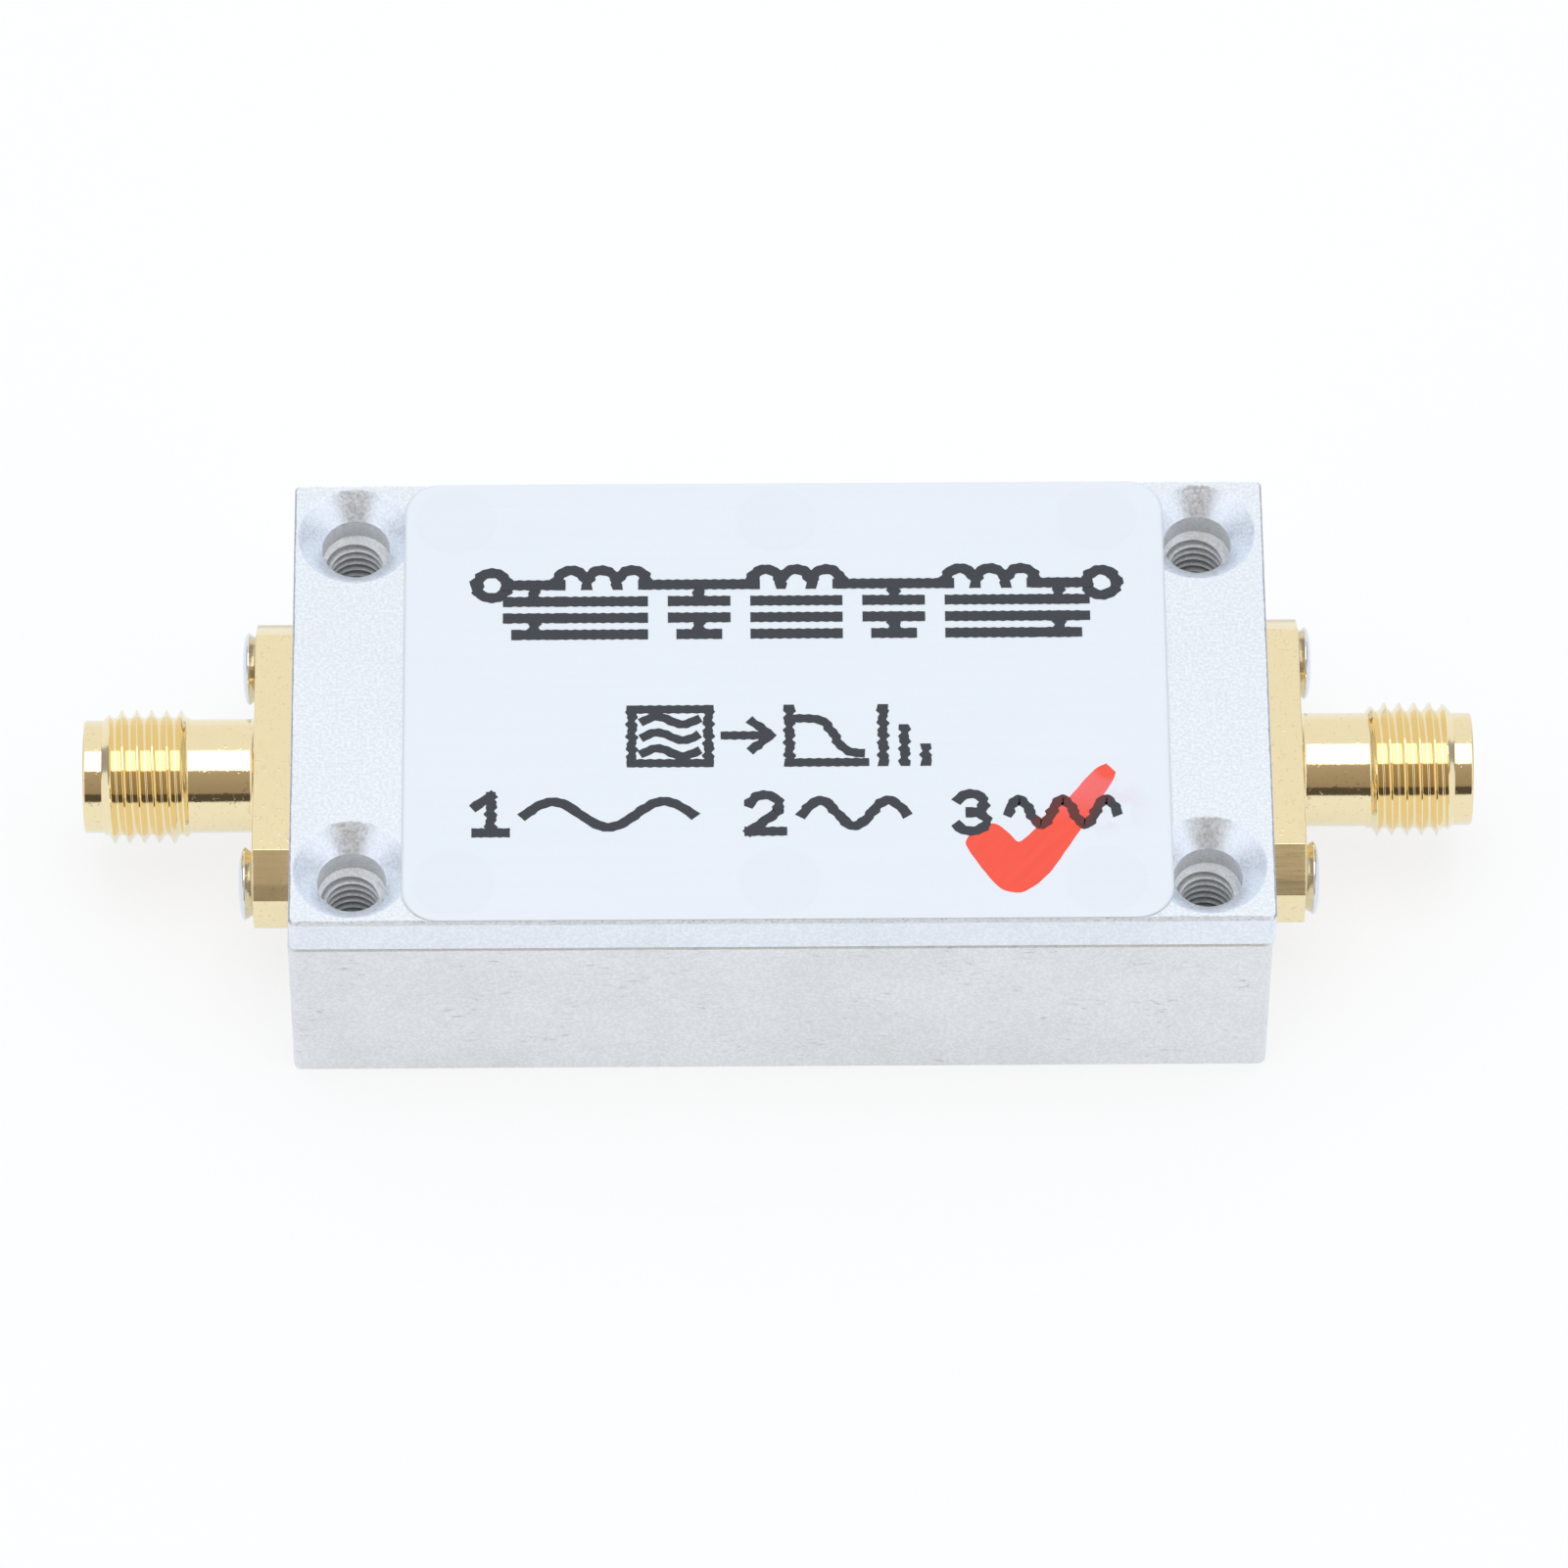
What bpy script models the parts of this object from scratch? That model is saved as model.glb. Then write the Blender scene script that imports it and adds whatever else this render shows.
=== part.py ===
"""A coaxial low-pass filter module.

A milled aluminium housing holds a filter board. A lid is screwed over it, a thin film lies
on the lid, and a gold-plated threaded jack is screwed to each end.

X runs along the axis of the two jacks, Y to the back and Z up. The origin is the middle of
the housing's underside. Every length is in metres.
"""

import math

import bmesh
import bpy
import numpy as np
from mathutils import Matrix

# Clearances between pieces
SEAT_GAP = 0.0003
FIT_GAP = 0.0002
FILM_GAP = 0.0001
MERGE = 0.0000005

# Housing
HOUSING_LENGTH = 0.0460
HOUSING_WIDTH = 0.0250
HOUSING_HEIGHT = 0.0103
HOUSING_CORNER = 0.0004
HOUSING_EDGE = 0.0001
END_WALL = 0.0060
SIDE_WALL = 0.0044
POCKET_CORNER = 0.0020

# Corner holes, through the lid and tapped in the housing
CORNER_HOLE_INSET = 0.0030
CORNER_THREAD_DIAMETER = 0.0030
CORNER_MOUTH = 0.0002
CORNER_LID_HOLE = 0.0034
CORNER_SINK_DIAMETER = 0.0054

# Lid
LID_OVERHANG = 0.0001
LID_THICKNESS = 0.0020
LID_EDGE = 0.00013
LID_CORNER = 0.0003

# Countersunk lid screws
LID_SCREW_FROM_CORNER = 0.0048
LID_SCREW_HEAD = 0.0037
LID_SCREW_SHANK = 0.0020
LID_SCREW_LENGTH = 0.0060

# Film on the lid
LABEL_LENGTH = 0.0360
LABEL_MARGIN = 0.0001
LABEL_THICKNESS = 0.0001
LABEL_CORNER = 0.0017
LABEL_SHIFT = 0.0003

# Jack flange
AXIS_HEIGHT = 0.0064
FLANGE_LENGTH = 0.0158
FLANGE_HEIGHT = 0.0058
FLANGE_THICKNESS = 0.0015
FLANGE_CHAMFER = 0.00175
FLANGE_EDGE = 0.0001
FLANGE_SCREW_SPACING = 0.0123

# Jack barrel
NECK_DIAMETER = 0.0054
NECK_LENGTH = 0.0031
NECK_FILLET = 0.0002
THREAD_DIAMETER = 0.00635
THREAD_LENGTH = 0.0040
THREAD_PITCH = 0.0254 / 36
CREST_SHARE = 0.125
FLANK_SHARE = 0.39
NOSE_DIAMETER = 0.00535
NOSE_LENGTH = 0.0010
NOSE_EDGE = 0.00012
BORE_DIAMETER = 0.0046
BORE_DEPTH = 0.00195
BORE_EDGE = 0.00008

# Insulator and centre contact
INSULATOR_DIAMETER = 0.0041
CONTACT_DIAMETER = 0.00127
CONTACT_RECESS = 0.0001
SOCKET_DIAMETER = 0.00093
SOCKET_DEPTH = 0.0030
SLOT_WIDTH = 0.0002
SLOT_LENGTH = 0.0025
TAIL_DIAMETER = 0.0008
TAIL_REACH = 0.0022

# Low domed screws of the flanges and the board
DOME_SEAT_DIAMETER = 0.0031
DOME_RIM_DIAMETER = 0.0035
DOME_RIM_HEIGHT = 0.00028
DOME_HEIGHT = 0.0006
DOME_FLAT_DIAMETER = 0.0022
DOME_SHANK_DIAMETER = 0.0020
FLANGE_SCREW_LENGTH = 0.0060
BOARD_SCREW_LENGTH = 0.0038
TAPPED_SPARE = 0.0006

# Cross recess of every screw
CROSS_SPAN = 0.0018
CROSS_WIDTH = 0.00042
CROSS_DEPTH = 0.00038

# Filter board and what stands on it
BOARD_THICKNESS = 0.0010
BOARD_SCREW_INSET = 0.0026
LADDER_MARGIN = 0.0028
COIL_INNER_DIAMETER = 0.0020
COIL_WIRE = 0.0005
COIL_PITCH = 0.0008
COIL_TURNS = 3
COIL_LEG = 0.0006
CHIP_LENGTH = 0.0016
CHIP_WIDTH = 0.0008
CHIP_CAP = 0.00035
CHIP_CAP_STEP = 0.00003
CHIP_OFFSET = 0.0012

# Facets round a full circle
BARREL_STEPS = 26
HOLE_STEPS = 20
SCREW_STEPS = 14
WIRE_STEPS = 10
CORNER_STEPS = 4
DOME_STEPS = 3
ARC_STEPS = 3

# Heights and places that follow from the sizes above
LID_LENGTH = HOUSING_LENGTH + 2 * LID_OVERHANG
LID_BOTTOM = HOUSING_HEIGHT + SEAT_GAP
LID_TOP = LID_BOTTOM + LID_THICKNESS
POCKET_LENGTH = HOUSING_LENGTH - 2 * END_WALL
POCKET_WIDTH = HOUSING_WIDTH - 2 * SIDE_WALL
BOARD_TOP = AXIS_HEIGHT - TAIL_DIAMETER / 2 - SEAT_GAP
FLOOR_TOP = BOARD_TOP - BOARD_THICKNESS - SEAT_GAP
BOARD_LENGTH = POCKET_LENGTH - 2 * SEAT_GAP
BOARD_WIDTH = POCKET_WIDTH - 2 * SEAT_GAP
CORNER_HOLE_X = HOUSING_LENGTH / 2 - CORNER_HOLE_INSET
CORNER_HOLE_Y = HOUSING_WIDTH / 2 - CORNER_HOLE_INSET
LID_SCREW_X = CORNER_HOLE_X - LID_SCREW_FROM_CORNER
LID_SCREW_Y = HOUSING_WIDTH / 2 - SIDE_WALL / 2
BOARD_SCREW_X = BOARD_LENGTH / 2 - BOARD_SCREW_INSET
BOARD_SCREW_Y = BOARD_WIDTH / 2 - BOARD_SCREW_INSET
STAGE_PITCH = (POCKET_LENGTH / 2 - TAIL_REACH - LADDER_MARGIN) / 3

# Places along a jack's own axis, measured outwards from the housing's end face
FLANGE_BACK = SEAT_GAP
FLANGE_FACE = FLANGE_BACK + FLANGE_THICKNESS
THREAD_START = FLANGE_FACE + NECK_LENGTH
THREAD_END = THREAD_START + THREAD_LENGTH
NOSE_TIP = THREAD_END + NOSE_LENGTH
BORE_BOTTOM = NOSE_TIP - BORE_DEPTH

OVERSHOOT = 0.0010
SHARPEST_SMOOTH_FOLD = math.radians(35.0)

# Base colour, roughness and metallic value of each finish
FINISHES = {
    "clear anodised aluminium": ((0.78, 0.80, 0.83), 0.45, 0.6),
    "white film": ((0.82, 0.86, 0.92), 0.35, 0.0),
    "gold plate": ((0.90, 0.72, 0.40), 0.22, 1.0),
    "white insulator": ((0.90, 0.90, 0.88), 0.5, 0.0),
    "nickel-plated steel": ((0.72, 0.71, 0.69), 0.25, 1.0),
    "stainless steel": ((0.66, 0.66, 0.66), 0.35, 1.0),
    "green board": ((0.03, 0.20, 0.09), 0.4, 0.0),
    "enamelled copper": ((0.70, 0.30, 0.14), 0.3, 1.0),
    "tan ceramic": ((0.52, 0.38, 0.24), 0.5, 0.0),
}


def clear_scene():
    """Removes whatever the scene already holds."""
    for item in list(bpy.data.objects):
        bpy.data.objects.remove(item, do_unlink=True)


def surface(points):
    """Makes a closed solid from a grid of points, whose equal points are merged."""
    rows, columns = points.shape[:2]
    bm = bmesh.new()
    verts = [[bm.verts.new(point) for point in row] for row in points.tolist()]
    for row in range(rows - 1):
        for column in range(columns - 1):
            here, there = verts[row], verts[row + 1]
            bm.faces.new((here[column], here[column + 1], there[column + 1], there[column]))
    bmesh.ops.remove_doubles(bm, verts=bm.verts, dist=MERGE)
    bmesh.ops.recalc_face_normals(bm, faces=bm.faces)
    return bm


def around_x(places, radii, steps):
    """Grid of points at the given places along X and radii round it, one full turn wide."""
    angles = np.linspace(0.0, math.tau, steps + 1)
    angles[-1] = 0.0
    places, radii, angles = np.broadcast_arrays(places, radii, angles)
    return np.stack([places, radii * np.cos(angles), radii * np.sin(angles)], axis=-1)


def turned(profile, steps):
    """Turned solid about X. The profile is (place, radius) pairs and ends on the axis or where it began."""
    places, radii = np.array(profile).T
    return surface(around_x(places[:, None], radii[:, None], steps))


def lofted(outlines):
    """Solid through a stack of (points, height) outlines, with flat ends."""
    bm = bmesh.new()
    loops = [[bm.verts.new((x, y, height)) for x, y in points] for points, height in outlines]
    bm.faces.new(loops[0])
    bm.faces.new(loops[-1])
    for lower, upper in zip(loops, loops[1:]):
        for here in range(len(lower)):
            after = (here + 1) % len(lower)
            bm.faces.new((lower[here], lower[after], upper[after], upper[here]))
    bmesh.ops.recalc_face_normals(bm, faces=bm.faces)
    return bm


def rounded_rectangle(length, width, radius):
    """Outline about the origin whose four corners are arcs."""
    points = []
    for quarter, (side_x, side_y) in enumerate(((1, 1), (-1, 1), (-1, -1), (1, -1))):
        centre_x = side_x * (length / 2 - radius)
        centre_y = side_y * (width / 2 - radius)
        for step in range(CORNER_STEPS + 1):
            angle = (quarter + step / CORNER_STEPS) * math.pi / 2
            points.append((centre_x + radius * math.cos(angle), centre_y + radius * math.sin(angle)))
    return points


def plate(length, width, radius, bottom, top):
    """Flat plate with round corners."""
    outline = rounded_rectangle(length, width, radius)
    return lofted([(outline, bottom), (outline, top)])


def rectangle(length, width):
    """Outline about the origin with four sharp corners."""
    half_x, half_y = length / 2, width / 2
    return [(half_x, half_y), (-half_x, half_y), (-half_x, -half_y), (half_x, -half_y)]


def block(length, width, bottom, top):
    """Plain rectangular block."""
    outline = rectangle(length, width)
    return lofted([(outline, bottom), (outline, top)])


def moved(bm, matrix):
    """The same shape in another place."""
    bmesh.ops.transform(bm, matrix=matrix, verts=bm.verts)
    return bm


def gathered(shapes):
    """Several shapes in one, each a body of its own."""
    whole = bmesh.new()
    for shape in shapes:
        mesh = bpy.data.meshes.new("shape")
        shape.to_mesh(mesh)
        shape.free()
        whole.from_mesh(mesh)
        bpy.data.meshes.remove(mesh)
    return whole


def mesh_of(bm, name):
    """Mesh of a finished shape."""
    mesh = bpy.data.meshes.new(name)
    bm.to_mesh(mesh)
    bm.free()
    return mesh


def carved(bm, name, steps):
    """Mesh of a shape after Boolean steps, each an operation and the shape that it uses."""
    work = bpy.data.objects.new(name, mesh_of(bm, name))
    bpy.context.scene.collection.objects.link(work)
    tools = []
    for operation, shape in steps:
        tool = bpy.data.objects.new(name + " tool", mesh_of(shape, name + " tool"))
        bpy.context.scene.collection.objects.link(tool)
        modifier = work.modifiers.new(operation, "BOOLEAN")
        modifier.operation = operation
        modifier.solver = "EXACT"
        modifier.object = tool
        tools.append(tool)
    evaluated = work.evaluated_get(bpy.context.evaluated_depsgraph_get())
    result = bpy.data.meshes.new_from_object(evaluated)
    for item in [work, *tools]:
        bpy.data.objects.remove(item, do_unlink=True)
    result.name = name
    return result


def cut(bm, name, tools):
    """Mesh of a shape after each of the tools has been cut from it."""
    return carved(bm, name, [("DIFFERENCE", tool) for tool in tools])


def placed(name, mesh, finish, parent=None, location=(0.0, 0.0, 0.0), rotation=(0.0, 0.0, 0.0)):
    """Puts a mesh into the scene as one named piece with a material of its own."""
    if isinstance(mesh, bpy.types.Mesh):
        mesh.shade_smooth()
        mesh.set_sharp_from_angle(angle=SHARPEST_SMOOTH_FOLD)
    piece = bpy.data.objects.new(name, mesh)
    piece.parent = parent
    piece.location = location
    piece.rotation_euler = rotation
    bpy.context.scene.collection.objects.link(piece)
    if not mesh.materials:
        mesh.materials.append(None)
    piece.material_slots[0].link = "OBJECT"
    piece.material_slots[0].material = material_of(name, finish)
    return piece


def material_of(name, finish):
    """Plain material with the colour and gloss of a finish."""
    colour, roughness, metallic = FINISHES[finish]
    material = bpy.data.materials.new(name + " " + finish)
    material.use_nodes = True
    shader = material.node_tree.nodes["Principled BSDF"]
    shader.inputs["Base Color"].default_value = (*colour, 1.0)
    shader.inputs["Roughness"].default_value = roughness
    shader.inputs["Metallic"].default_value = metallic
    return material


def upright(profile, x, y, steps):
    """Turned shape on an upright axis at (x, y), its profile's places measured as heights."""
    upwards = Matrix.Rotation(-math.pi / 2, 4, "Y")
    return moved(turned(profile, steps), Matrix.Translation((x, y, 0.0)) @ upwards)


def four_corners(x, y):
    """The four places (x, y), (x, -y), (-x, y) and (-x, -y)."""
    return [(side_x * x, side_y * y) for side_x in (-1, 1) for side_y in (-1, 1)]


def lid_screw_places():
    """Places of the six lid screws, three along each side wall."""
    return [(column * LID_SCREW_X, side * LID_SCREW_Y) for side in (-1, 1) for column in (-1, 0, 1)]


def straight_hole(bottom, top, diameter):
    """Profile of a plain round hole or pin."""
    return [(bottom, 0.0), (bottom, diameter / 2), (top, diameter / 2), (top, 0.0)]


def corner_hole_in_housing():
    """Profile of a tapped corner hole, right through, with a small chamfer at its upper mouth."""
    radius = CORNER_THREAD_DIAMETER / 2
    wide = radius + CORNER_MOUTH
    return [
        (-OVERSHOOT, 0.0),
        (-OVERSHOOT, radius),
        (HOUSING_HEIGHT - CORNER_MOUTH, radius),
        (HOUSING_HEIGHT, wide),
        (HOUSING_HEIGHT + OVERSHOOT, wide),
        (HOUSING_HEIGHT + OVERSHOOT, 0.0),
    ]


def countersunk_hole(hole, sink):
    """Profile of a hole through the lid with a right-angled cone at its upper mouth."""
    return [
        (LID_BOTTOM - OVERSHOOT, 0.0),
        (LID_BOTTOM - OVERSHOOT, hole / 2),
        (LID_TOP - (sink - hole) / 2, hole / 2),
        (LID_TOP, sink / 2),
        (LID_TOP + OVERSHOOT, sink / 2),
        (LID_TOP + OVERSHOOT, 0.0),
    ]


def upright_holes(profile, places, steps):
    """One cutter with the same hole at several places."""
    return gathered([upright(profile, x, y, steps) for x, y in places])


def end_holes(profile, offsets, steps):
    """One cutter with the same hole in both end faces, at the given distances beside the jack's axis."""
    holes = []
    for turn in (0.0, math.pi):
        end = Matrix.Rotation(turn, 4, "Z") @ Matrix.Translation((HOUSING_LENGTH / 2, 0.0, AXIS_HEIGHT))
        holes += [moved(turned(profile, steps), end @ Matrix.Translation((0.0, y, 0.0))) for y in offsets]
    return gathered(holes)


def flange_screw_offsets():
    """Distances of the two flange screws from the jack's axis."""
    return [side * FLANGE_SCREW_SPACING / 2 for side in (-1, 1)]


def housing_cuts():
    """Every cut that is made into the housing, kind by kind."""
    tapped = DOME_SHANK_DIAMETER + 2 * FIT_GAP
    lid_bottom = LID_TOP - LID_SCREW_LENGTH - TAPPED_SPARE
    lid_hole = straight_hole(lid_bottom, HOUSING_HEIGHT + OVERSHOOT, LID_SCREW_SHANK + 2 * FIT_GAP)
    board_bottom = BOARD_TOP + FIT_GAP - BOARD_SCREW_LENGTH - TAPPED_SPARE
    board_hole = straight_hole(board_bottom, FLOOR_TOP + OVERSHOOT, tapped)
    insulator_hole = straight_hole(-END_WALL - OVERSHOOT, OVERSHOOT, INSULATOR_DIAMETER + 2 * FIT_GAP)
    flange_bottom = FLANGE_FACE + FIT_GAP - FLANGE_SCREW_LENGTH - TAPPED_SPARE
    flange_hole = straight_hole(flange_bottom, OVERSHOOT, tapped)
    return [
        plate(POCKET_LENGTH, POCKET_WIDTH, POCKET_CORNER, FLOOR_TOP, HOUSING_HEIGHT + OVERSHOOT),
        upright_holes(corner_hole_in_housing(), four_corners(CORNER_HOLE_X, CORNER_HOLE_Y), HOLE_STEPS),
        upright_holes(lid_hole, lid_screw_places(), SCREW_STEPS),
        upright_holes(board_hole, four_corners(BOARD_SCREW_X, BOARD_SCREW_Y), SCREW_STEPS),
        end_holes(insulator_hole, [0.0], HOLE_STEPS),
        end_holes(flange_hole, flange_screw_offsets(), SCREW_STEPS),
    ]


def make_housing():
    """Milled block with finely chamfered edges and one pocket, open at the top."""
    full = rounded_rectangle(HOUSING_LENGTH, HOUSING_WIDTH, HOUSING_CORNER)
    length, width = HOUSING_LENGTH - 2 * HOUSING_EDGE, HOUSING_WIDTH - 2 * HOUSING_EDGE
    inner = rounded_rectangle(length, width, HOUSING_CORNER - HOUSING_EDGE)
    low, high = HOUSING_EDGE, HOUSING_HEIGHT - HOUSING_EDGE
    body = lofted([(inner, 0.0), (full, low), (full, high), (inner, HOUSING_HEIGHT)])
    placed("housing", cut(body, "housing", housing_cuts()), "clear anodised aluminium")


def make_lid():
    """Flat lid with a fine chamfer round its upper edge and ten countersunk holes."""
    full = rounded_rectangle(LID_LENGTH, HOUSING_WIDTH, LID_CORNER)
    cut_back = 2 * LID_EDGE
    inner = rounded_rectangle(LID_LENGTH - cut_back, HOUSING_WIDTH - cut_back, LID_CORNER - LID_EDGE)
    body = lofted([(full, LID_BOTTOM), (full, LID_TOP - LID_EDGE), (inner, LID_TOP)])
    corner = countersunk_hole(CORNER_LID_HOLE, CORNER_SINK_DIAMETER)
    small = countersunk_hole(LID_SCREW_SHANK + 2 * FIT_GAP, LID_SCREW_HEAD + 2 * FIT_GAP)
    holes = [
        upright_holes(corner, four_corners(CORNER_HOLE_X, CORNER_HOLE_Y), HOLE_STEPS),
        upright_holes(small, lid_screw_places(), SCREW_STEPS),
    ]
    placed("lid", cut(body, "lid", holes), "clear anodised aluminium")


def make_label():
    """Thin film over the middle of the lid, from its front edge to its back edge."""
    width = HOUSING_WIDTH - 2 * LABEL_MARGIN
    film = plate(LABEL_LENGTH, width, LABEL_CORNER, 0.0, LABEL_THICKNESS)
    placed("label", mesh_of(film, "label"), "white film", location=(LABEL_SHIFT, 0.0, LID_TOP + FILM_GAP))


def thread_grid():
    """Grid of points of the external thread, one row for each fold of its profile.

    A row climbs by one pitch in one turn, so its last point is the first point of the row
    one pitch further on. Places beyond the ends of the thread lie on the end they pass. The
    profile is a crest, a flank, a root and a flank. The root runs straight from the neck to
    the nose, and both ends of the thread are cut to cones of 45 degrees.
    """
    turns = math.ceil(THREAD_LENGTH / THREAD_PITCH) + 1
    folds = np.array([0.0, CREST_SHARE, CREST_SHARE + FLANK_SHARE, 1.0 - FLANK_SHARE])
    rows = (np.arange(-1, turns)[:, None] + folds).reshape(-1, 1)[: 4 * turns + 1]
    on_crest = np.tile([1.0, 1.0, 0.0, 0.0], turns + 1)[: 4 * turns + 1, None]
    climb = np.linspace(0.0, 1.0, BARREL_STEPS + 1)
    places = THREAD_START + THREAD_PITCH * (rows + climb)
    nearest = THREAD_PITCH / BARREL_STEPS / 2
    places = np.where(places < THREAD_START + nearest, THREAD_START, places)
    places = np.where(places > THREAD_END - nearest, THREAD_END, places)
    share = (places - THREAD_START) / THREAD_LENGTH
    root = NECK_DIAMETER / 2 + share * (NOSE_DIAMETER - NECK_DIAMETER) / 2
    to_end = np.minimum(places - THREAD_START, THREAD_END - places)
    height = np.minimum((THREAD_DIAMETER / 2 - root) * on_crest, to_end)
    return around_x(places, root + height, BARREL_STEPS)


def arc(centre_x, centre_r, radius, first, last):
    """Profile points on an arc, its angles in degrees from the X direction."""
    angles = np.radians(np.linspace(first, last, ARC_STEPS + 1))
    return [(centre_x + radius * math.cos(a), centre_r + radius * math.sin(a)) for a in angles]


def barrel():
    """Outer form of a jack's barrel, from inside the flange to the tip of the nose."""
    neck = NECK_DIAMETER / 2
    nose = NOSE_DIAMETER / 2
    inside = FLANGE_FACE - FLANGE_THICKNESS / 2
    behind = [(inside, 0.0), (inside, neck + NECK_FILLET)]
    behind += arc(FLANGE_FACE + NECK_FILLET, neck + NECK_FILLET, NECK_FILLET, 180.0, 270.0)
    ahead = arc(NOSE_TIP - NOSE_EDGE, nose - NOSE_EDGE, NOSE_EDGE, 90.0, 0.0) + [(NOSE_TIP, 0.0)]
    back, front = np.array(behind)[:, :, None], np.array(ahead)[:, :, None]
    parts = [
        around_x(back[:, 0], back[:, 1], BARREL_STEPS),
        thread_grid(),
        around_x(front[:, 0], front[:, 1], BARREL_STEPS),
    ]
    return surface(np.concatenate(parts))


def bore():
    """Stepped bore of a jack, wide at the mouth and as wide as the insulator behind."""
    narrow = INSULATOR_DIAMETER / 2 + FIT_GAP
    wide = BORE_DIAMETER / 2
    mouth = wide + BORE_EDGE
    profile = [
        (-OVERSHOOT, 0.0),
        (-OVERSHOOT, narrow),
        (BORE_BOTTOM, narrow),
        (BORE_BOTTOM, wide),
        (NOSE_TIP - BORE_EDGE, wide),
        (NOSE_TIP, mouth),
        (NOSE_TIP + OVERSHOOT, mouth),
        (NOSE_TIP + OVERSHOOT, 0.0),
    ]
    return turned(profile, BARREL_STEPS)


def flange_outline(shrink):
    """Rectangle with its four corners cut off at 45 degrees, every edge moved inwards by the same step."""
    half_y, half_z = FLANGE_LENGTH / 2 - shrink, FLANGE_HEIGHT / 2 - shrink
    leg = FLANGE_CHAMFER - (2.0 - math.sqrt(2.0)) * shrink
    outline = []
    for side_y, side_z in ((1, 1), (-1, 1), (-1, -1), (1, -1)):
        corner = [(side_y * half_y, side_z * (half_z - leg)), (side_y * (half_y - leg), side_z * half_z)]
        outline += corner if side_y == side_z else corner[::-1]
    return outline


def flange():
    """Flange plate with its outer edge finely chamfered, standing across the jack's axis."""
    full = flange_outline(0.0)
    front = FLANGE_FACE - FLANGE_EDGE
    shape = lofted([(full, FLANGE_BACK), (full, front), (flange_outline(FLANGE_EDGE), FLANGE_FACE)])
    stand = Matrix(((0.0, 0.0, 1.0, 0.0), (1.0, 0.0, 0.0, 0.0), (0.0, 1.0, 0.0, 0.0), (0.0, 0.0, 0.0, 1.0)))
    return moved(shape, stand)


def flange_screw_holes():
    """Two clearance holes through the flange."""
    profile = straight_hole(-OVERSHOOT, FLANGE_FACE + OVERSHOOT, DOME_SHANK_DIAMETER + 2 * FIT_GAP)
    places = [Matrix.Translation((0.0, y, 0.0)) for y in flange_screw_offsets()]
    return gathered([moved(turned(profile, SCREW_STEPS), place) for place in places])


def insulator():
    """Plastic tube from the bottom of the bore to the inner face of the end wall."""
    outer = INSULATOR_DIAMETER / 2
    inner = CONTACT_DIAMETER / 2 + FIT_GAP
    back = -END_WALL
    profile = [(back, inner), (back, outer), (BORE_BOTTOM, outer), (BORE_BOTTOM, inner), (back, inner)]
    return mesh_of(turned(profile, HOLE_STEPS), "insulator")


def centre_contact():
    """Socket with four slots in front, and a pin behind that reaches over the board."""
    front = BORE_BOTTOM - CONTACT_RECESS
    shank = CONTACT_DIAMETER / 2
    pin = TAIL_DIAMETER / 2
    socket = SOCKET_DIAMETER / 2
    profile = [
        (-END_WALL - TAIL_REACH, 0.0),
        (-END_WALL - TAIL_REACH, pin),
        (-END_WALL, pin),
        (-END_WALL, shank),
        (front, shank),
        (front, socket),
        (front - SOCKET_DEPTH, socket),
        (front - SOCKET_DEPTH, 0.0),
    ]
    slots = []
    for turn in (0.0, math.pi / 2):
        slot = block(2 * SLOT_LENGTH, SLOT_WIDTH, -CONTACT_DIAMETER, CONTACT_DIAMETER)
        slots.append(moved(slot, Matrix.Translation((front, 0.0, 0.0)) @ Matrix.Rotation(turn, 4, "X")))
    return cut(turned(profile, SCREW_STEPS), "centre_contact", slots)


def cross_recess(face):
    """Two crossed cutters for a recess that opens at the given place on the X axis."""
    arms = []
    for turn in (0.0, math.pi / 2):
        arm = block(CROSS_SPAN, CROSS_WIDTH, -CROSS_DEPTH, OVERSHOOT)
        place = Matrix.Translation((face, 0.0, 0.0)) @ Matrix.Rotation(math.pi / 2, 4, "Y")
        arms.append(moved(arm, place @ Matrix.Rotation(turn, 4, "Z")))
    return arms


def domed_screw(length):
    """Low domed screw on the X axis: the head stands on the plane x = 0 and the shank runs to -length.

    The head widens from its seat to a rim and closes over it in a quarter of an ellipse.
    """
    shank, flat = DOME_SHANK_DIAMETER / 2, DOME_FLAT_DIAMETER / 2
    rise, reach = DOME_HEIGHT - DOME_RIM_HEIGHT, DOME_RIM_DIAMETER / 2 - flat
    profile = [(-length, 0.0), (-length, shank), (0.0, shank), (0.0, DOME_SEAT_DIAMETER / 2)]
    for step in range(DOME_STEPS + 1):
        angle = step / DOME_STEPS * math.pi / 2
        profile.append((DOME_RIM_HEIGHT + rise * math.sin(angle), flat + reach * math.cos(angle)))
    profile.append((DOME_HEIGHT, 0.0))
    return cut(turned(profile, SCREW_STEPS), "domed_screw", cross_recess(DOME_HEIGHT))


def countersunk_screw():
    """Flat-head screw on the X axis, its head flush with the plane x = 0."""
    head, shank = LID_SCREW_HEAD / 2, LID_SCREW_SHANK / 2
    profile = [
        (-LID_SCREW_LENGTH, 0.0),
        (-LID_SCREW_LENGTH, shank),
        (shank - head, shank),
        (0.0, head),
        (0.0, 0.0),
    ]
    return cut(turned(profile, SCREW_STEPS), "countersunk_screw", cross_recess(0.0))


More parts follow.
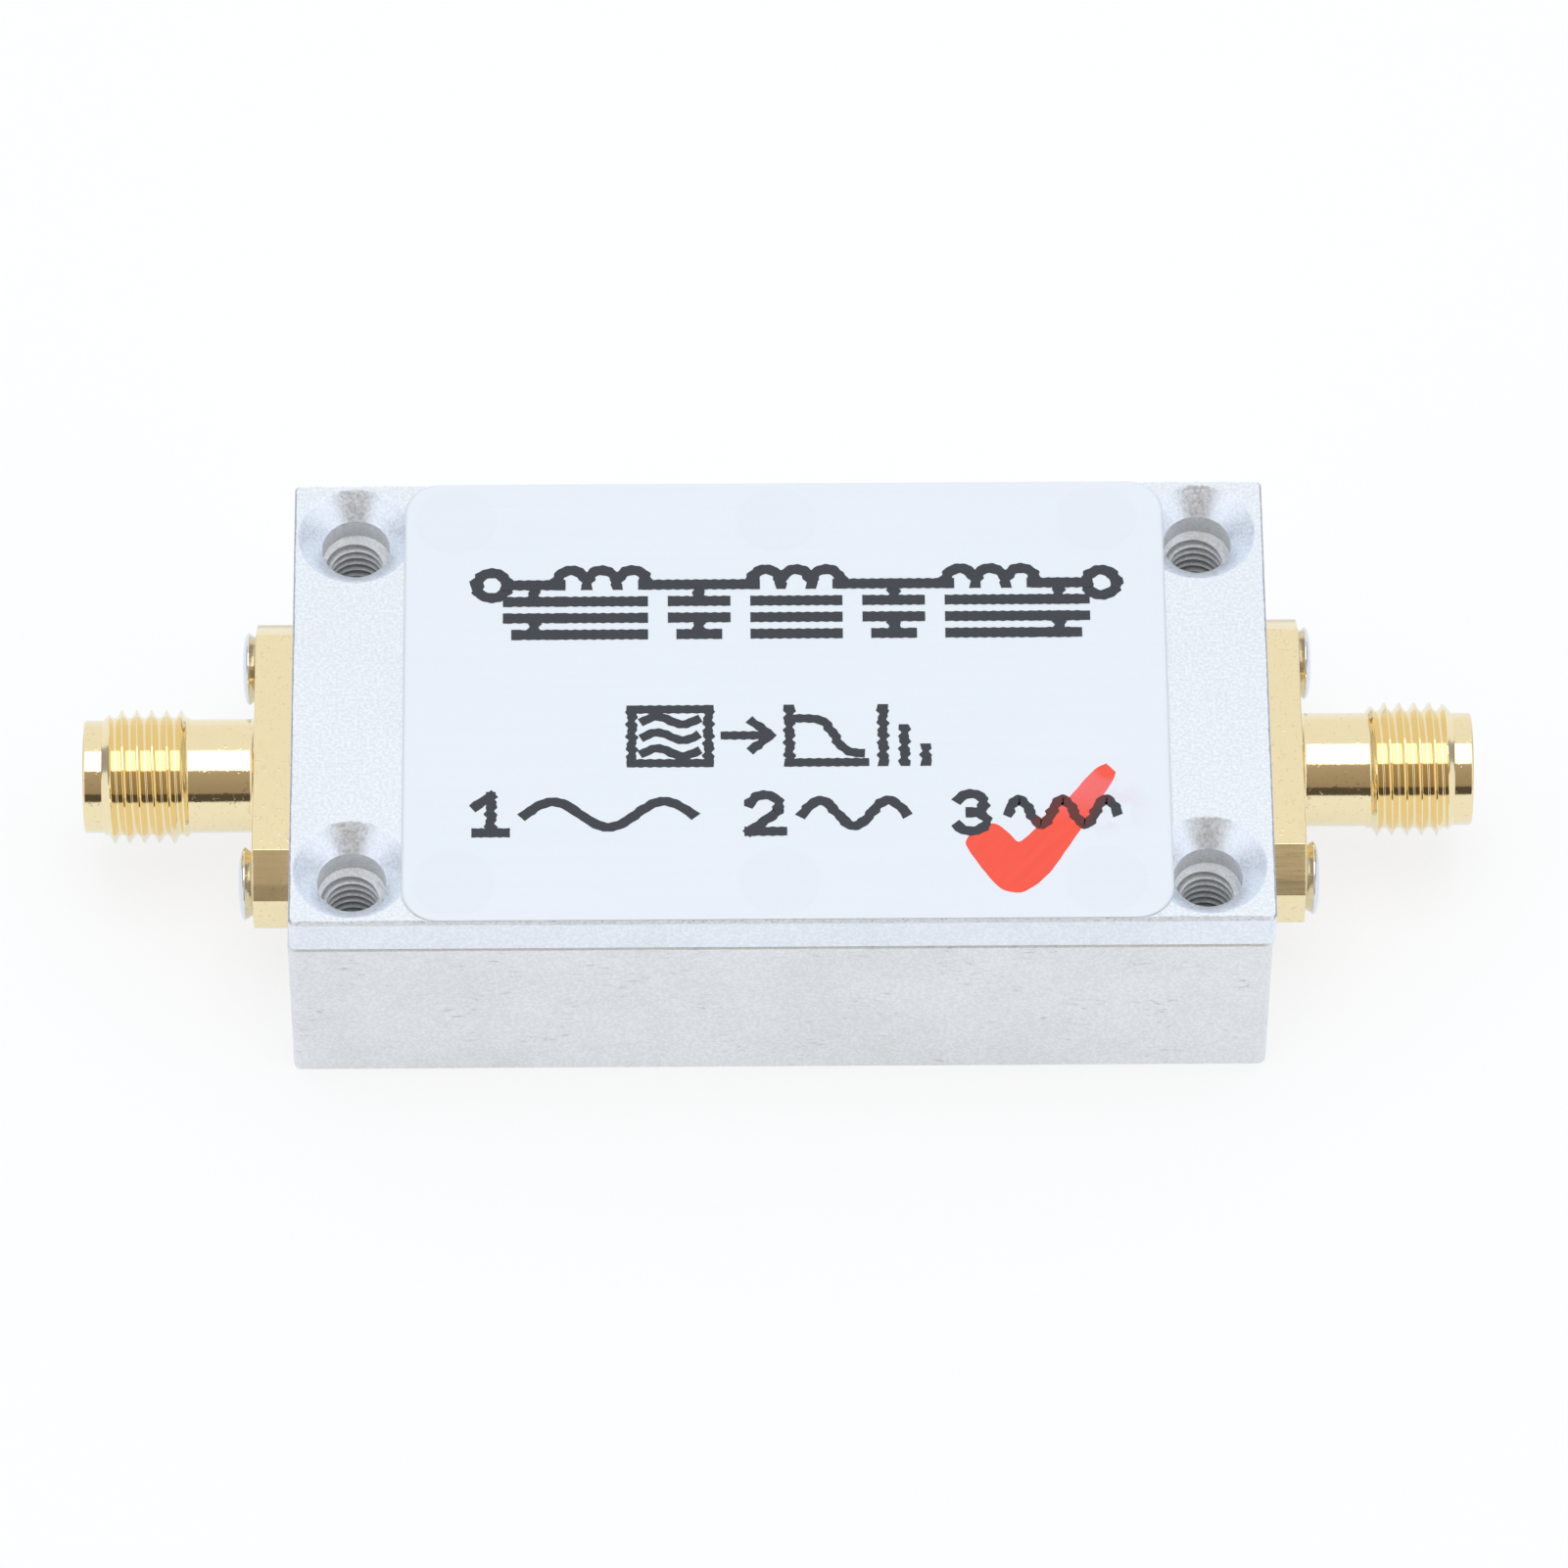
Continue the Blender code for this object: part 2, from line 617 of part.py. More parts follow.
def make_jacks():
    """Both jacks with their insulators, contacts and screws, each set on a guide at an end face."""
    steps = [("UNION", barrel()), ("DIFFERENCE", bore()), ("DIFFERENCE", flange_screw_holes())]
    body = carved(flange(), "jack_body", steps)
    tube, contact, screw = insulator(), centre_contact(), domed_screw(FLANGE_SCREW_LENGTH)
    for side, turn in (("left", math.pi), ("right", 0.0)):
        reach = HOUSING_LENGTH / 2 * math.cos(turn)
        seat = bpy.data.objects.new(side + "_jack_seat", None)
        seat.location = (reach, 0.0, AXIS_HEIGHT)
        seat.rotation_euler = (0.0, 0.0, turn)
        bpy.context.scene.collection.objects.link(seat)
        placed(side + "_jack_body", body, "gold plate", seat)
        placed(side + "_insulator", tube, "white insulator", seat)
        placed(side + "_centre_contact", contact, "gold plate", seat)
        for end, place in (("front", -1), ("back", 1)):
            y = place * math.cos(turn) * FLANGE_SCREW_SPACING / 2
            location = (FLANGE_FACE + FIT_GAP, y, 0.0)
            placed(f"{side}_flange_screw_{end}", screw, "nickel-plated steel", seat, location)


def make_lid_screws():
    """Six flat-head screws, flush with the lid."""
    mesh = countersunk_screw()
    upwards = (0.0, -math.pi / 2, 0.0)
    for number, (x, y) in enumerate(lid_screw_places(), start=1):
        location = (x, y, LID_TOP)
        placed(f"lid_screw_{number}", mesh, "stainless steel", location=location, rotation=upwards)


def make_board():
    """Filter board on the floor of the pocket."""
    radius = POCKET_CORNER - SEAT_GAP
    body = plate(BOARD_LENGTH, BOARD_WIDTH, radius, BOARD_TOP - BOARD_THICKNESS, BOARD_TOP)
    profile = straight_hole(FLOOR_TOP, BOARD_TOP + OVERSHOOT, DOME_SHANK_DIAMETER + 2 * FIT_GAP)
    holes = upright_holes(profile, four_corners(BOARD_SCREW_X, BOARD_SCREW_Y), SCREW_STEPS)
    placed("circuit_board", cut(body, "circuit_board", [holes]), "green board")


def make_board_screws():
    """Four low domed screws through the corners of the board."""
    mesh = domed_screw(BOARD_SCREW_LENGTH)
    upwards = (0.0, -math.pi / 2, 0.0)
    for number, (x, y) in enumerate(four_corners(BOARD_SCREW_X, BOARD_SCREW_Y), start=1):
        location = (x, y, BOARD_TOP + FIT_GAP)
        placed(f"board_screw_{number}", mesh, "stainless steel", location=location, rotation=upwards)


def coil_route():
    """Centre line of a coil that lies along X, with a straight leg along the board at each end."""
    radius = (COIL_INNER_DIAMETER + COIL_WIRE) / 2
    points = []
    for step in range(COIL_TURNS * WIRE_STEPS + 1):
        turn = step / WIRE_STEPS
        angle = math.tau * turn
        x = (turn - COIL_TURNS / 2) * COIL_PITCH
        points.append((x, radius * math.sin(angle), radius * (1.0 - math.cos(angle))))
    first, last = points[0], points[-1]
    points.insert(0, (first[0], -radius - COIL_LEG, 0.0))
    points.append((last[0], radius + COIL_LEG, 0.0))
    return points


def coil():
    """One coil of round wire as a bevelled curve with closed ends."""
    curve = bpy.data.curves.new("coil", "CURVE")
    curve.dimensions = "3D"
    curve.bevel_depth = COIL_WIRE / 2
    curve.bevel_resolution = 1
    curve.use_fill_caps = True
    spline = curve.splines.new("POLY")
    route = coil_route()
    spline.points.add(len(route) - 1)
    for point, place in zip(spline.points, route):
        point.co = (*place, 1.0)
    return curve


def chip():
    """Chip capacitor lying along Y, with a slightly thicker metal cap at each end."""
    half, cap = CHIP_LENGTH / 2, CHIP_LENGTH / 2 - CHIP_CAP
    thin, thick = CHIP_WIDTH / 2 - CHIP_CAP_STEP, CHIP_WIDTH / 2
    rings = [(thick, -half), (thick, -cap), (thin, -cap), (thin, cap), (thick, cap), (thick, half)]
    outlines = [(rectangle(2 * size, 2 * size), height) for size, height in rings]
    return mesh_of(moved(lofted(outlines), Matrix.Rotation(math.pi / 2, 4, "X")), "chip")


def make_filter():
    """Three coils in a row between the jacks, with a capacitor to ground at each end of each coil."""
    wire, capacitor = coil(), chip()
    on_board = BOARD_TOP + SEAT_GAP
    for number, stage in enumerate((-2, 0, 2), start=1):
        location = (stage * STAGE_PITCH, 0.0, on_board + COIL_WIRE / 2)
        placed(f"series_coil_{number}", wire, "enamelled copper", location=location)
    for number, stage in enumerate((-3, -1, 1, 3), start=1):
        location = (stage * STAGE_PITCH, -CHIP_OFFSET, on_board + CHIP_WIDTH / 2)
        placed(f"shunt_capacitor_{number}", capacitor, "tan ceramic", location=location)


clear_scene()
make_housing()
make_lid()
make_label()
make_jacks()
make_lid_screws()
make_board()
make_board_screws()
make_filter()
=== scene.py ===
"""The looks of a coaxial low-pass filter module: its studio, its finishes and its fine shapes.

X runs along the axis of the two jacks, Y to the back and Z up, with the origin under the middle of the
housing. Lengths are written in millimetres and turned to metres as a mesh is made.
"""

import math

import bmesh
import bpy
import numpy as np
from mathutils import Matrix


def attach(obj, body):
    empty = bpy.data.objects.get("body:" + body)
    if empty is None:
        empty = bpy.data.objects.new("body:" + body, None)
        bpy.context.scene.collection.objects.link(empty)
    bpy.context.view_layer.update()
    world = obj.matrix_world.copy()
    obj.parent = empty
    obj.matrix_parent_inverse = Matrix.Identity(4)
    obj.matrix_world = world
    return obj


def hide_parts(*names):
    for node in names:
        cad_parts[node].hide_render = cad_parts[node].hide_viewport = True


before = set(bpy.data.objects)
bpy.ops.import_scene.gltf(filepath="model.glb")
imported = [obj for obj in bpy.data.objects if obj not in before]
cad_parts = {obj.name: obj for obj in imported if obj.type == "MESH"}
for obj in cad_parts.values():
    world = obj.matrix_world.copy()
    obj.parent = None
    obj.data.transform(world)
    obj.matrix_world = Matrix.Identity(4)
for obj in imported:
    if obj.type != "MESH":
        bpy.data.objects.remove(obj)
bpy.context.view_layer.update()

# The photographer's studio: a long lens a little over half a metre away, looking down at 56 degrees.
# One broad soft light hangs over the bench, the walls are pale, and the wall behind the camera is dark.
# The module stands on a plain white bench top.
MM = 0.001
CAMERA_PLACE = (-3.888, -320.383, 481.603)
CAMERA_TILT = 33.9362
CAMERA_ROLL = -0.1958
CAMERA_TURN = -0.3959
LENS = 277.11
SENSOR = 36.0
SOFTBOX_HEIGHT = 1000.0
SOFTBOX_FORWARD = 45.0
SOFTBOX_LENGTH = 620.0
SOFTBOX_WIDTH = 750.0
SOFTBOX_RADIANCE = 1.75
WALL_LIGHT = (0.905, 0.955, 1.030)
SIDE_LIGHT = (1.12, 1.16, 1.23)
FRONT_WALL_HIGH = (0.445, 0.392, 0.338)
FRONT_WALL_LOW = (0.335, 0.285, 0.232)
FRONT_SKIRTING = (0.09, 0.08, 0.07)
FRONT_WALL_STOPS = (
    (0.0, WALL_LIGHT), (0.615, WALL_LIGHT), (0.632, FRONT_WALL_HIGH), (0.886, FRONT_WALL_LOW),
    (0.898, FRONT_SKIRTING), (0.984, FRONT_SKIRTING), (0.996, WALL_LIGHT),
)
FRONT_WALL_SIDE = (0.38, 0.50)
SIDE_WALL_BACK = (0.3, -0.1)
SIDE_SKIRTING = (0.36, 0.37, 0.42)
SIDE_SKIRTING_SLOPE = 0.9
SIDE_SKIRTING_TOP = (-0.42, -0.52)
SIDE_SKIRTING_START = (0.55, 0.70)
BENCH_HALF_SIZE = 2500.0
BENCH_FLOOR = -0.01
BENCH_COLOUR = (0.90, 0.905, 0.915)
BENCH_GLOW = 0.75
BENCH_GLOW_COLOUR = (0.92, 1.00, 1.13)


class Value:
    """One output of a shader node. Arithmetic on it adds Math nodes to the same tree."""

    def __init__(self, shading, output):
        self.shading = shading
        self.output = output

    def maths(self, operation, *values):
        return self.shading.add("ShaderNodeMath", {"operation": operation}, dict(enumerate(values)))["Value"]

    def __add__(self, other):
        return self.maths("ADD", self, other)

    def __sub__(self, other):
        return self.maths("SUBTRACT", self, other)

    def __rsub__(self, other):
        return self.maths("SUBTRACT", other, self)

    def __mul__(self, other):
        return self.maths("MULTIPLY", self, other)

    def __truediv__(self, other):
        return self.maths("DIVIDE", self, other)

    def __pow__(self, other):
        return self.maths("POWER", self, other)

    def __abs__(self):
        return self.maths("ABSOLUTE", self)

    __radd__ = __add__
    __rmul__ = __mul__


class Shading:
    """The shader nodes of one material or world. Places are in millimetres."""

    def __init__(self, owner):
        owner.use_nodes = True
        self.owner = owner
        self.tree = owner.node_tree

    def put(self, node, key, value):
        """Sets one socket of a node, by its name or number, to a value or links it to an output."""
        named = isinstance(key, str)
        socket = next(s for s in node.inputs if s.name == key and s.enabled) if named else node.inputs[key]
        if isinstance(value, Value):
            self.tree.links.new(value.output, socket)
        else:
            socket.default_value = value

    def add(self, kind, settings, inputs):
        """Adds a node: its settings come first, then its sockets. Returns its outputs by name."""
        node = self.tree.nodes.new(kind)
        for key, value in settings.items():
            if key == "stops":
                self.set_stops(node.color_ramp, value)
            else:
                setattr(node, key, value)
        for key, value in inputs.items():
            self.put(node, key, value)
        return {output.name: Value(self, output) for output in node.outputs if output.enabled}

    def set_stops(self, ramp, stops):
        """Gives a colour ramp its stops, as (place, colour) pairs."""
        while len(ramp.elements) < len(stops):
            ramp.elements.new(1.0)
        for element, (place, colour) in zip(ramp.elements, stops):
            element.position = place
            element.color = (*colour, 1.0)

    def place(self):
        """The shaded point, as a vector."""
        return self.times(self.add("ShaderNodeTexCoord", {}, {})["Object"], 1.0 / MM)

    def along(self, vector):
        """The three parts of a vector."""
        parts = self.add("ShaderNodeSeparateXYZ", {}, {0: vector})
        return parts["X"], parts["Y"], parts["Z"]

    def spot(self):
        """The shaded point, as a vector and as its three parts."""
        place = self.place()
        return place, *self.along(place)

    def far(self, one, other):
        """Distance from the origin of a point with two parts."""
        return (one ** 2.0 + other ** 2.0) ** 0.5

    def vector(self, x, y, z):
        """A vector from its three parts."""
        return self.add("ShaderNodeCombineXYZ", {}, {0: x, 1: y, 2: z})["Vector"]

    def noise(self, place, size, detail=2.0, rough=0.5):
        """Cloudy noise from 0 to 1, its lumps about the given size."""
        inputs = {"Vector": place, "Scale": 1.0 / size, "Detail": detail, "Roughness": rough}
        return self.add("ShaderNodeTexNoise", {}, inputs)["Fac"]

    def rise(self, value, low, high):
        """0 below low, 1 above high and a smooth step between. With low above high it falls instead."""
        inputs = {"Value": value, "From Min": low, "From Max": high}
        return self.add("ShaderNodeMapRange", {"interpolation_type": "SMOOTHSTEP"}, inputs)["Result"]

    def times(self, vector, factor):
        """A vector or a colour times a factor."""
        inputs = {0: vector, "Scale": factor}
        return self.add("ShaderNodeVectorMath", {"operation": "SCALE"}, inputs)["Vector"]

    def blend(self, share, first, second):
        """The first colour where share is 0 and the second where it is 1."""
        first, second = (c if isinstance(c, Value) else (*c, 1.0) for c in (first, second))
        inputs = {"Factor": share, "A": first, "B": second}
        return self.add("ShaderNodeMix", {"data_type": "RGBA"}, inputs)["Result"]

    def bump(self, height, depth):
        """Normal of a surface whose relief is height times a depth in millimetres."""
        return self.add("ShaderNodeBump", {}, {"Height": height, "Distance": depth * MM})["Normal"]

    def principled(self, **inputs):
        """Sets the material's main shader. A socket's name is written with _ for each space."""
        shader = self.tree.nodes["Principled BSDF"]
        for key, value in inputs.items():
            if isinstance(value, tuple):
                value = (*value, 1.0)
            self.put(shader, key.replace("_", " "), value)
        return self.owner


def new_finish(name):
    """Shading of a new material."""
    return Shading(bpy.data.materials.new(name))


def in_scene(name, data):
    """A new object in the scene."""
    thing = bpy.data.objects.new(name, data)
    bpy.context.scene.collection.objects.link(thing)
    return thing


def turn_of_camera():
    """Rotation of the camera: first its roll, then its tilt from straight down, then its turn about Z."""
    turns = ((CAMERA_TURN, "Z"), (CAMERA_TILT, "X"), (CAMERA_ROLL, "Y"))
    first, second, third = (Matrix.Rotation(math.radians(angle), 4, axis) for angle, axis in turns)
    return first @ second @ third


camera = in_scene("camera", bpy.data.cameras.new("camera"))
camera.data.lens = LENS
camera.data.sensor_width = SENSOR
camera.data.clip_start = 0.01
camera.data.clip_end = 20.0
camera.matrix_world = Matrix.Translation([part * MM for part in CAMERA_PLACE]) @ turn_of_camera()
bpy.context.scene.camera = camera
bpy.context.scene.view_settings.view_transform = "Standard"

softbox = in_scene("softbox", bpy.data.lights.new("softbox", "AREA"))
softbox.data.shape = "RECTANGLE"
softbox.data.size = SOFTBOX_LENGTH * MM
softbox.data.size_y = SOFTBOX_WIDTH * MM
softbox.data.energy = SOFTBOX_RADIANCE * math.pi * softbox.data.size * softbox.data.size_y
softbox.location = (0.0, -SOFTBOX_FORWARD * MM, SOFTBOX_HEIGHT * MM)

world = bpy.data.worlds.new("studio walls")
bpy.context.scene.world = world
walls = Shading(world)
toward_x, toward_y, toward_z = walls.along(walls.add("ShaderNodeTexCoord", {}, {})["Generated"])
sideways = abs(toward_x)
from_back_to_front = toward_z.maths("ARCTAN2", toward_z, toward_y) / math.pi
stops = {"stops": FRONT_WALL_STOPS}
front_wall = walls.add("ShaderNodeValToRGB", stops, {"Fac": from_back_to_front})["Color"]
side_wall = walls.blend(walls.rise(toward_y, *SIDE_WALL_BACK), WALL_LIGHT, SIDE_LIGHT)
low = walls.rise(toward_z - SIDE_SKIRTING_SLOPE * sideways, *SIDE_SKIRTING_TOP)
side_wall = walls.blend(low * walls.rise(sideways, *SIDE_SKIRTING_START), side_wall, SIDE_SKIRTING)
wall_light = walls.blend(walls.rise(sideways, *FRONT_WALL_SIDE), front_wall, side_wall)
seen = walls.add("ShaderNodeLightPath", {}, {})["Is Camera Ray"]
walls.put(world.node_tree.nodes["Background"], "Color", walls.blend(seen, wall_light, (1.0, 1.0, 1.0)))


def closed(name, places, faces):
    """Mesh from points in millimetres. Equal points are merged, and the faces are turned outwards."""
    mesh = bpy.data.meshes.new(name)
    mesh.from_pydata(np.asarray(places) * MM, [], faces)
    bm = bmesh.new()
    bm.from_mesh(mesh)
    bmesh.ops.remove_doubles(bm, verts=bm.verts, dist=2e-7)
    bmesh.ops.recalc_face_normals(bm, faces=bm.faces)
    if bm.calc_volume(signed=True) < 0.0:
        bmesh.ops.reverse_faces(bm, faces=bm.faces)
    bm.to_mesh(mesh)
    bm.free()
    return mesh


def cells(rows, columns):
    """Point numbers of every cell of four neighbours on a grid."""
    number = np.arange(rows * columns).reshape(rows, columns)
    corners = number[:-1, :-1], number[:-1, 1:], number[1:, 1:], number[1:, :-1]
    return np.stack(corners, axis=-1).reshape(-1, 4)


def sheet(name, *grids):
    """Mesh over one or more grids of points, one face for each cell."""
    starts = np.cumsum([0] + [grid[..., 0].size for grid in grids])
    faces = np.concatenate([cells(*grid.shape[:2]) + start for grid, start in zip(grids, starts)])
    return closed(name, np.concatenate([grid.reshape(-1, 3) for grid in grids]), faces.tolist())


def bench_top():
    """Square grid in a plane just under z = 0: x and y each run evenly from edge to edge."""
    side = np.linspace(-BENCH_HALF_SIZE, BENCH_HALF_SIZE, 3)
    x, y = np.meshgrid(side, side)
    return sheet("bench_top", np.stack([x, y, np.full_like(x, BENCH_FLOOR)], axis=-1))


def bench_white():
    """White board: lit as a matt surface, and lifted to plain white where it is only the background."""
    s = new_finish("bench white")
    cloud = s.noise(s.place(), 40.0)
    matt = s.times(BENCH_COLOUR, 0.995 + 0.01 * cloud)
    board = s.principled(Base_Color=matt, Roughness=0.9, Specular_IOR_Level=0.0)
    ray = s.add("ShaderNodeLightPath", {}, {})
    cool = s.blend(ray["Is Glossy Ray"], (1.0, 1.0, 1.0), BENCH_GLOW_COLOUR)
    glow = s.add("ShaderNodeEmission", {}, {"Color": cool, "Strength": 1.0})["Emission"]
    background = (ray["Is Camera Ray"] + ray["Is Glossy Ray"] + ray["Is Transmission Ray"]) * BENCH_GLOW
    lit = Value(s, s.tree.nodes["Principled BSDF"].outputs["BSDF"])
    mixed = s.add("ShaderNodeMixShader", {}, {0: background, 1: lit, 2: glow})["Shader"]
    s.put(s.tree.nodes["Material Output"], "Surface", mixed)
    return board


bench = in_scene("bench_top", bench_top())
bench.data.materials.append(bench_white())


# The housing is one block of aluminium, milled out from above, bead blasted and clear anodised. It carries
# the lid, both jacks and the filter board. Its solid is kept, and only its skin is added: a pale grey, with
# a sandy grain, soft clouds and a few handling marks.
CORNER_X = 20.0
CORNER_Y = 9.5
HOUSING_TOP = 10.3
HOUSING_COLOUR = (0.860, 0.854, 0.828)
HOUSING_CLOUD_COLOUR = (0.824, 0.816, 0.788)
RUB_COLOUR = (0.55, 0.50, 0.47)


def blasted_aluminium(name, colour, cloud_colour, sparkle, rubs, relief, painted_side_light_below=0.0):
    """Sandy grain, clouds of a second tone and rub marks. Below the given height painted light makes it a
    little paler.
    """
    s = new_finish(name)
    place, x, y, z = s.spot()
    grain = s.noise(place, 0.11, 2.0, 0.6)
    cloud = s.rise(s.noise(place, 5.0, 5.0, 0.62), 0.38, 0.72)
    spark = s.rise(s.noise(place, 0.15, 1.0), 0.36, 0.68) - 0.5
    # Painted light: below the given height the colour is made paler, which lightens the lid's sides.
    painted_side_light = s.rise(z, painted_side_light_below, painted_side_light_below - 0.04)
    tone = 1.0 + sparkle * (spark + grain - 0.5) + 0.18 * painted_side_light
    rub_place = s.vector(x * 0.6, y * 0.6, z * 1.7)
    rub_zone = s.rise(s.noise(place, 3.1), 0.46, 0.62)
    rub = s.rise(s.noise(rub_place, 0.40, 4.0, 0.7), 0.54, 0.74) * rub_zone * rubs
    skin = s.blend(rub, s.times(s.blend(cloud, colour, cloud_colour), tone), RUB_COLOUR)
    return s.principled(
        Base_Color=skin, Metallic=0.55, Roughness=0.46 + 0.10 * (cloud - grain),
        Normal=s.bump(grain, relief), Specular_IOR_Level=0.5,
    )


def dress(node, material):
    """Gives a CAD node a finish."""
    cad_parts[node].material_slots[0].material = material


housing_metal = blasted_aluminium(
    "housing metal", HOUSING_COLOUR, HOUSING_CLOUD_COLOUR, sparkle=0.090, rubs=0.9, relief=0.016,
)
dress("housing", housing_metal)


# Each corner of the housing is drilled right through and tapped with a 3 mm thread, from a chamfer at its
# mouth down. It is cut in the housing's own metal, so it is left bright, with painted shade darkening the
# roots of the thread. All four holes are open, since nothing is screwed into them.
THREAD_MAJOR = 1.52
THREAD_MINOR = 1.25
THREAD_PITCH_M3 = 0.5
THREAD_FLOOR = 0.02
LOWER_MOUTH_RADIUS = 1.49
MOUTH_RADIUS = 1.67
MOUTH_TOP = HOUSING_TOP + 0.01
SLEEVE_RADIUS = 1.78
HOLE_COLUMNS = 72
CUT_WHITE = (0.97, 0.98, 0.98)
ROOT_SHADE_GREY = (0.46, 0.47, 0.48)
SHARPEST_SMOOTH_FOLD = math.radians(28.0)
M3_FORM = ((0.0, 0.0), (0.05, 0.06), (0.36, 0.94), (0.41, 1.0), (0.59, 1.0), (0.64, 0.94), (0.95, 0.06))


def helix(first, last, pitch, form, columns, phase=0.0):
    """Places, angles and heights of a helical thread, as one grid.

    The form is (share of a pitch, share of full height) pairs, repeated each pitch. A row climbs one pitch
    in one turn, so its last point is the first point of the row one pitch on. A place beyond either end, or
    within half a step of it, lies on that end.
    """
    turns = math.ceil((last - first) / pitch) + 2
    folds, heights = np.array(form).T
    rows = (np.arange(-2, turns)[:, None] + folds + phase).reshape(-1, 1)
    climb = np.linspace(0.0, 1.0, columns + 1)
    places = first + pitch * (rows + climb)
    nearest = pitch / columns / 2
    places = np.where(places < first + nearest, first, places)
    places = np.where(places > last - nearest, last, places)
    angles = np.broadcast_to(climb * math.tau, places.shape)
    heights = np.broadcast_to(np.tile(heights, turns + 2)[:, None], places.shape)
    return places, angles, heights


def around(places, radii, angles):
    """Points round the X axis: a place along it, a radius and an angle from Y towards Z."""
    places, radii, angles = np.broadcast_arrays(places, radii, angles)
    return np.stack([places, radii * np.cos(angles), radii * np.sin(angles)], axis=-1)


def full_circle(columns):
    """Angles of one full turn, whose last is the first again."""
    return np.append(np.arange(columns) / columns, 0.0) * math.tau


def turned(profile, columns):
    """Grid of a turned surface about X, from a profile of (place, radius) pairs."""
    places, radii = np.array(profile).T
    return around(places[:, None], radii[:, None], full_circle(columns))


def upright(grid, x, y):
    """The same grid with its X axis standing up at (x, y): place becomes height."""
    return np.stack([x - grid[..., 2], y + grid[..., 1], grid[..., 0]], axis=-1)


def tapped_hole():
    """Sleeve with a helical inner thread, let into the wall of the plain hole.

    The inner radius is the greatest of the thread's radius and those of the two 45 degree mouths.
    """
    places, angles, heights = helix(THREAD_FLOOR, MOUTH_TOP, THREAD_PITCH_M3, M3_FORM, HOLE_COLUMNS)
    angles = np.where(angles >= math.tau, 0.0, angles)
    inner = THREAD_MINOR + (THREAD_MAJOR - THREAD_MINOR) * heights
    inner = np.maximum(inner, MOUTH_RADIUS - (MOUTH_TOP - places))
    inner = np.maximum(inner, LOWER_MOUTH_RADIUS - (places - THREAD_FLOOR))
    inner = np.where(places <= THREAD_FLOOR, LOWER_MOUTH_RADIUS, inner)
    inner = np.where(places >= MOUTH_TOP, MOUTH_RADIUS, inner)
    back = [(MOUTH_TOP, SLEEVE_RADIUS), (THREAD_FLOOR, SLEEVE_RADIUS), (THREAD_FLOOR, LOWER_MOUTH_RADIUS)]
    return np.concatenate([around(places, inner, angles), turned(back, HOLE_COLUMNS)])


def torn_metal(s, colour, metallic, rough, relief):
    """Freshly cut aluminium: a speckle of torn grains, and fine turning lines round each corner hole."""
    place, x, y, z = s.spot()
    speckle = s.rise(s.noise(place, 0.15, 2.0, 0.6), 0.30, 0.70)
    patch = s.noise(place, 0.40)
    away = from_corner_hole(s, x, y)
    rings = s.noise(s.vector(away + z, away - z, patch * 0.1), 0.07, 1.0)
    tone = 0.87 + 0.18 * speckle + 0.10 * (rings - 0.5)
    return s.principled(
        Base_Color=s.times(colour, tone), Metallic=metallic,
        Roughness=rough + 0.14 * (speckle - 0.5) + 0.12 * (patch - 0.5),
        Normal=s.bump(speckle + 0.35 * rings, relief),
    )


def from_corner_hole(s, x, y):
    """Distance from the axis of the nearest corner hole."""
    return s.far(abs(x) - CORNER_X, abs(y) - CORNER_Y)


def thread_metal():
    """Cut aluminium that is darkest in the roots of the thread, where shade is painted into its colour."""
    s = new_finish("tapped metal")
    x, y, z = s.along(s.place())
    thread_top = MOUTH_TOP - (MOUTH_RADIUS - THREAD_MINOR)
    # Painted shade: the colour darkens towards the roots of the thread, below the thread's top.
    root = s.rise(from_corner_hole(s, x, y), 1.28, 1.43) * s.rise(z, thread_top + 0.02, thread_top - 0.06)
    return torn_metal(s, s.blend(root, CUT_WHITE, ROOT_SHADE_GREY), metallic=0.35, rough=0.45, relief=0.004)


def piece(name, mesh, material, nodes=()):
    """Puts a finished mesh on the module, in place of the CAD nodes that it stands for."""
    if not any(mesh.materials):
        mesh.materials.clear()
        mesh.materials.append(material)
    mesh.shade_smooth()
    mesh.set_sharp_from_angle(angle=SHARPEST_SMOOTH_FOLD)
    thing = in_scene(name, mesh)
    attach(thing, "root")
    if nodes:
        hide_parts(*nodes)
    return thing


tapped_metal = thread_metal()
corner_places = [(side_x * CORNER_X, side_y * CORNER_Y) for side_y in (-1, 1) for side_x in (-1, 1)]
for number, (x, y) in enumerate(corner_places, start=1):
    thread = sheet("corner_thread", upright(tapped_hole(), x, y))
    piece(f"corner_thread_{number}", thread, tapped_metal)


# The lid is an aluminium plate, blasted and anodised like the housing, as long as it and set a hair to the
# right. Its corner holes are countersunk after blasting, so their cones are bright. Six small countersunk
# holes take its own screws. Its upper edge was filed by hand and glints unevenly.
LID_LENGTH = 46.0
LID_WIDTH = 25.0
LID_SHIFT = 0.1
LID_FLOOR = 10.37
LID_TOP = 12.6
LID_CORNER = 0.3
LID_COLOUR = (0.764, 0.784, 0.793)
LID_CLOUD_COLOUR = (0.745, 0.765, 0.774)
CONE_COLOUR = (0.84, 0.885, 0.94)
STRAIGHT_COLOUR = (0.80, 0.81, 0.82)
FILED_COLOUR = (0.93, 0.96, 1.00)
FILED_SIDE_SHADE_COLOUR = (0.56, 0.56, 0.62)
SINK_RADIUS = 2.7
HOLE_RADIUS = 1.62
SINK_EDGE = 0.06
CONE_FOOT = LID_TOP - (SINK_RADIUS - HOLE_RADIUS)
LID_SCREW_X = 15.2
LID_SCREW_Y = 10.3
LID_SCREW_SINK = 2.05
LID_SCREW_HOLE = 1.2
LID_SCREW_EDGE = 0.03
LOWER_EDGE = 0.06
FILED_WIDTH = 0.135
FILED_WAVER = 0.022
FILED_LIMIT = 0.21
SINK_COLUMNS = 96
OVERSHOOT = 1.0


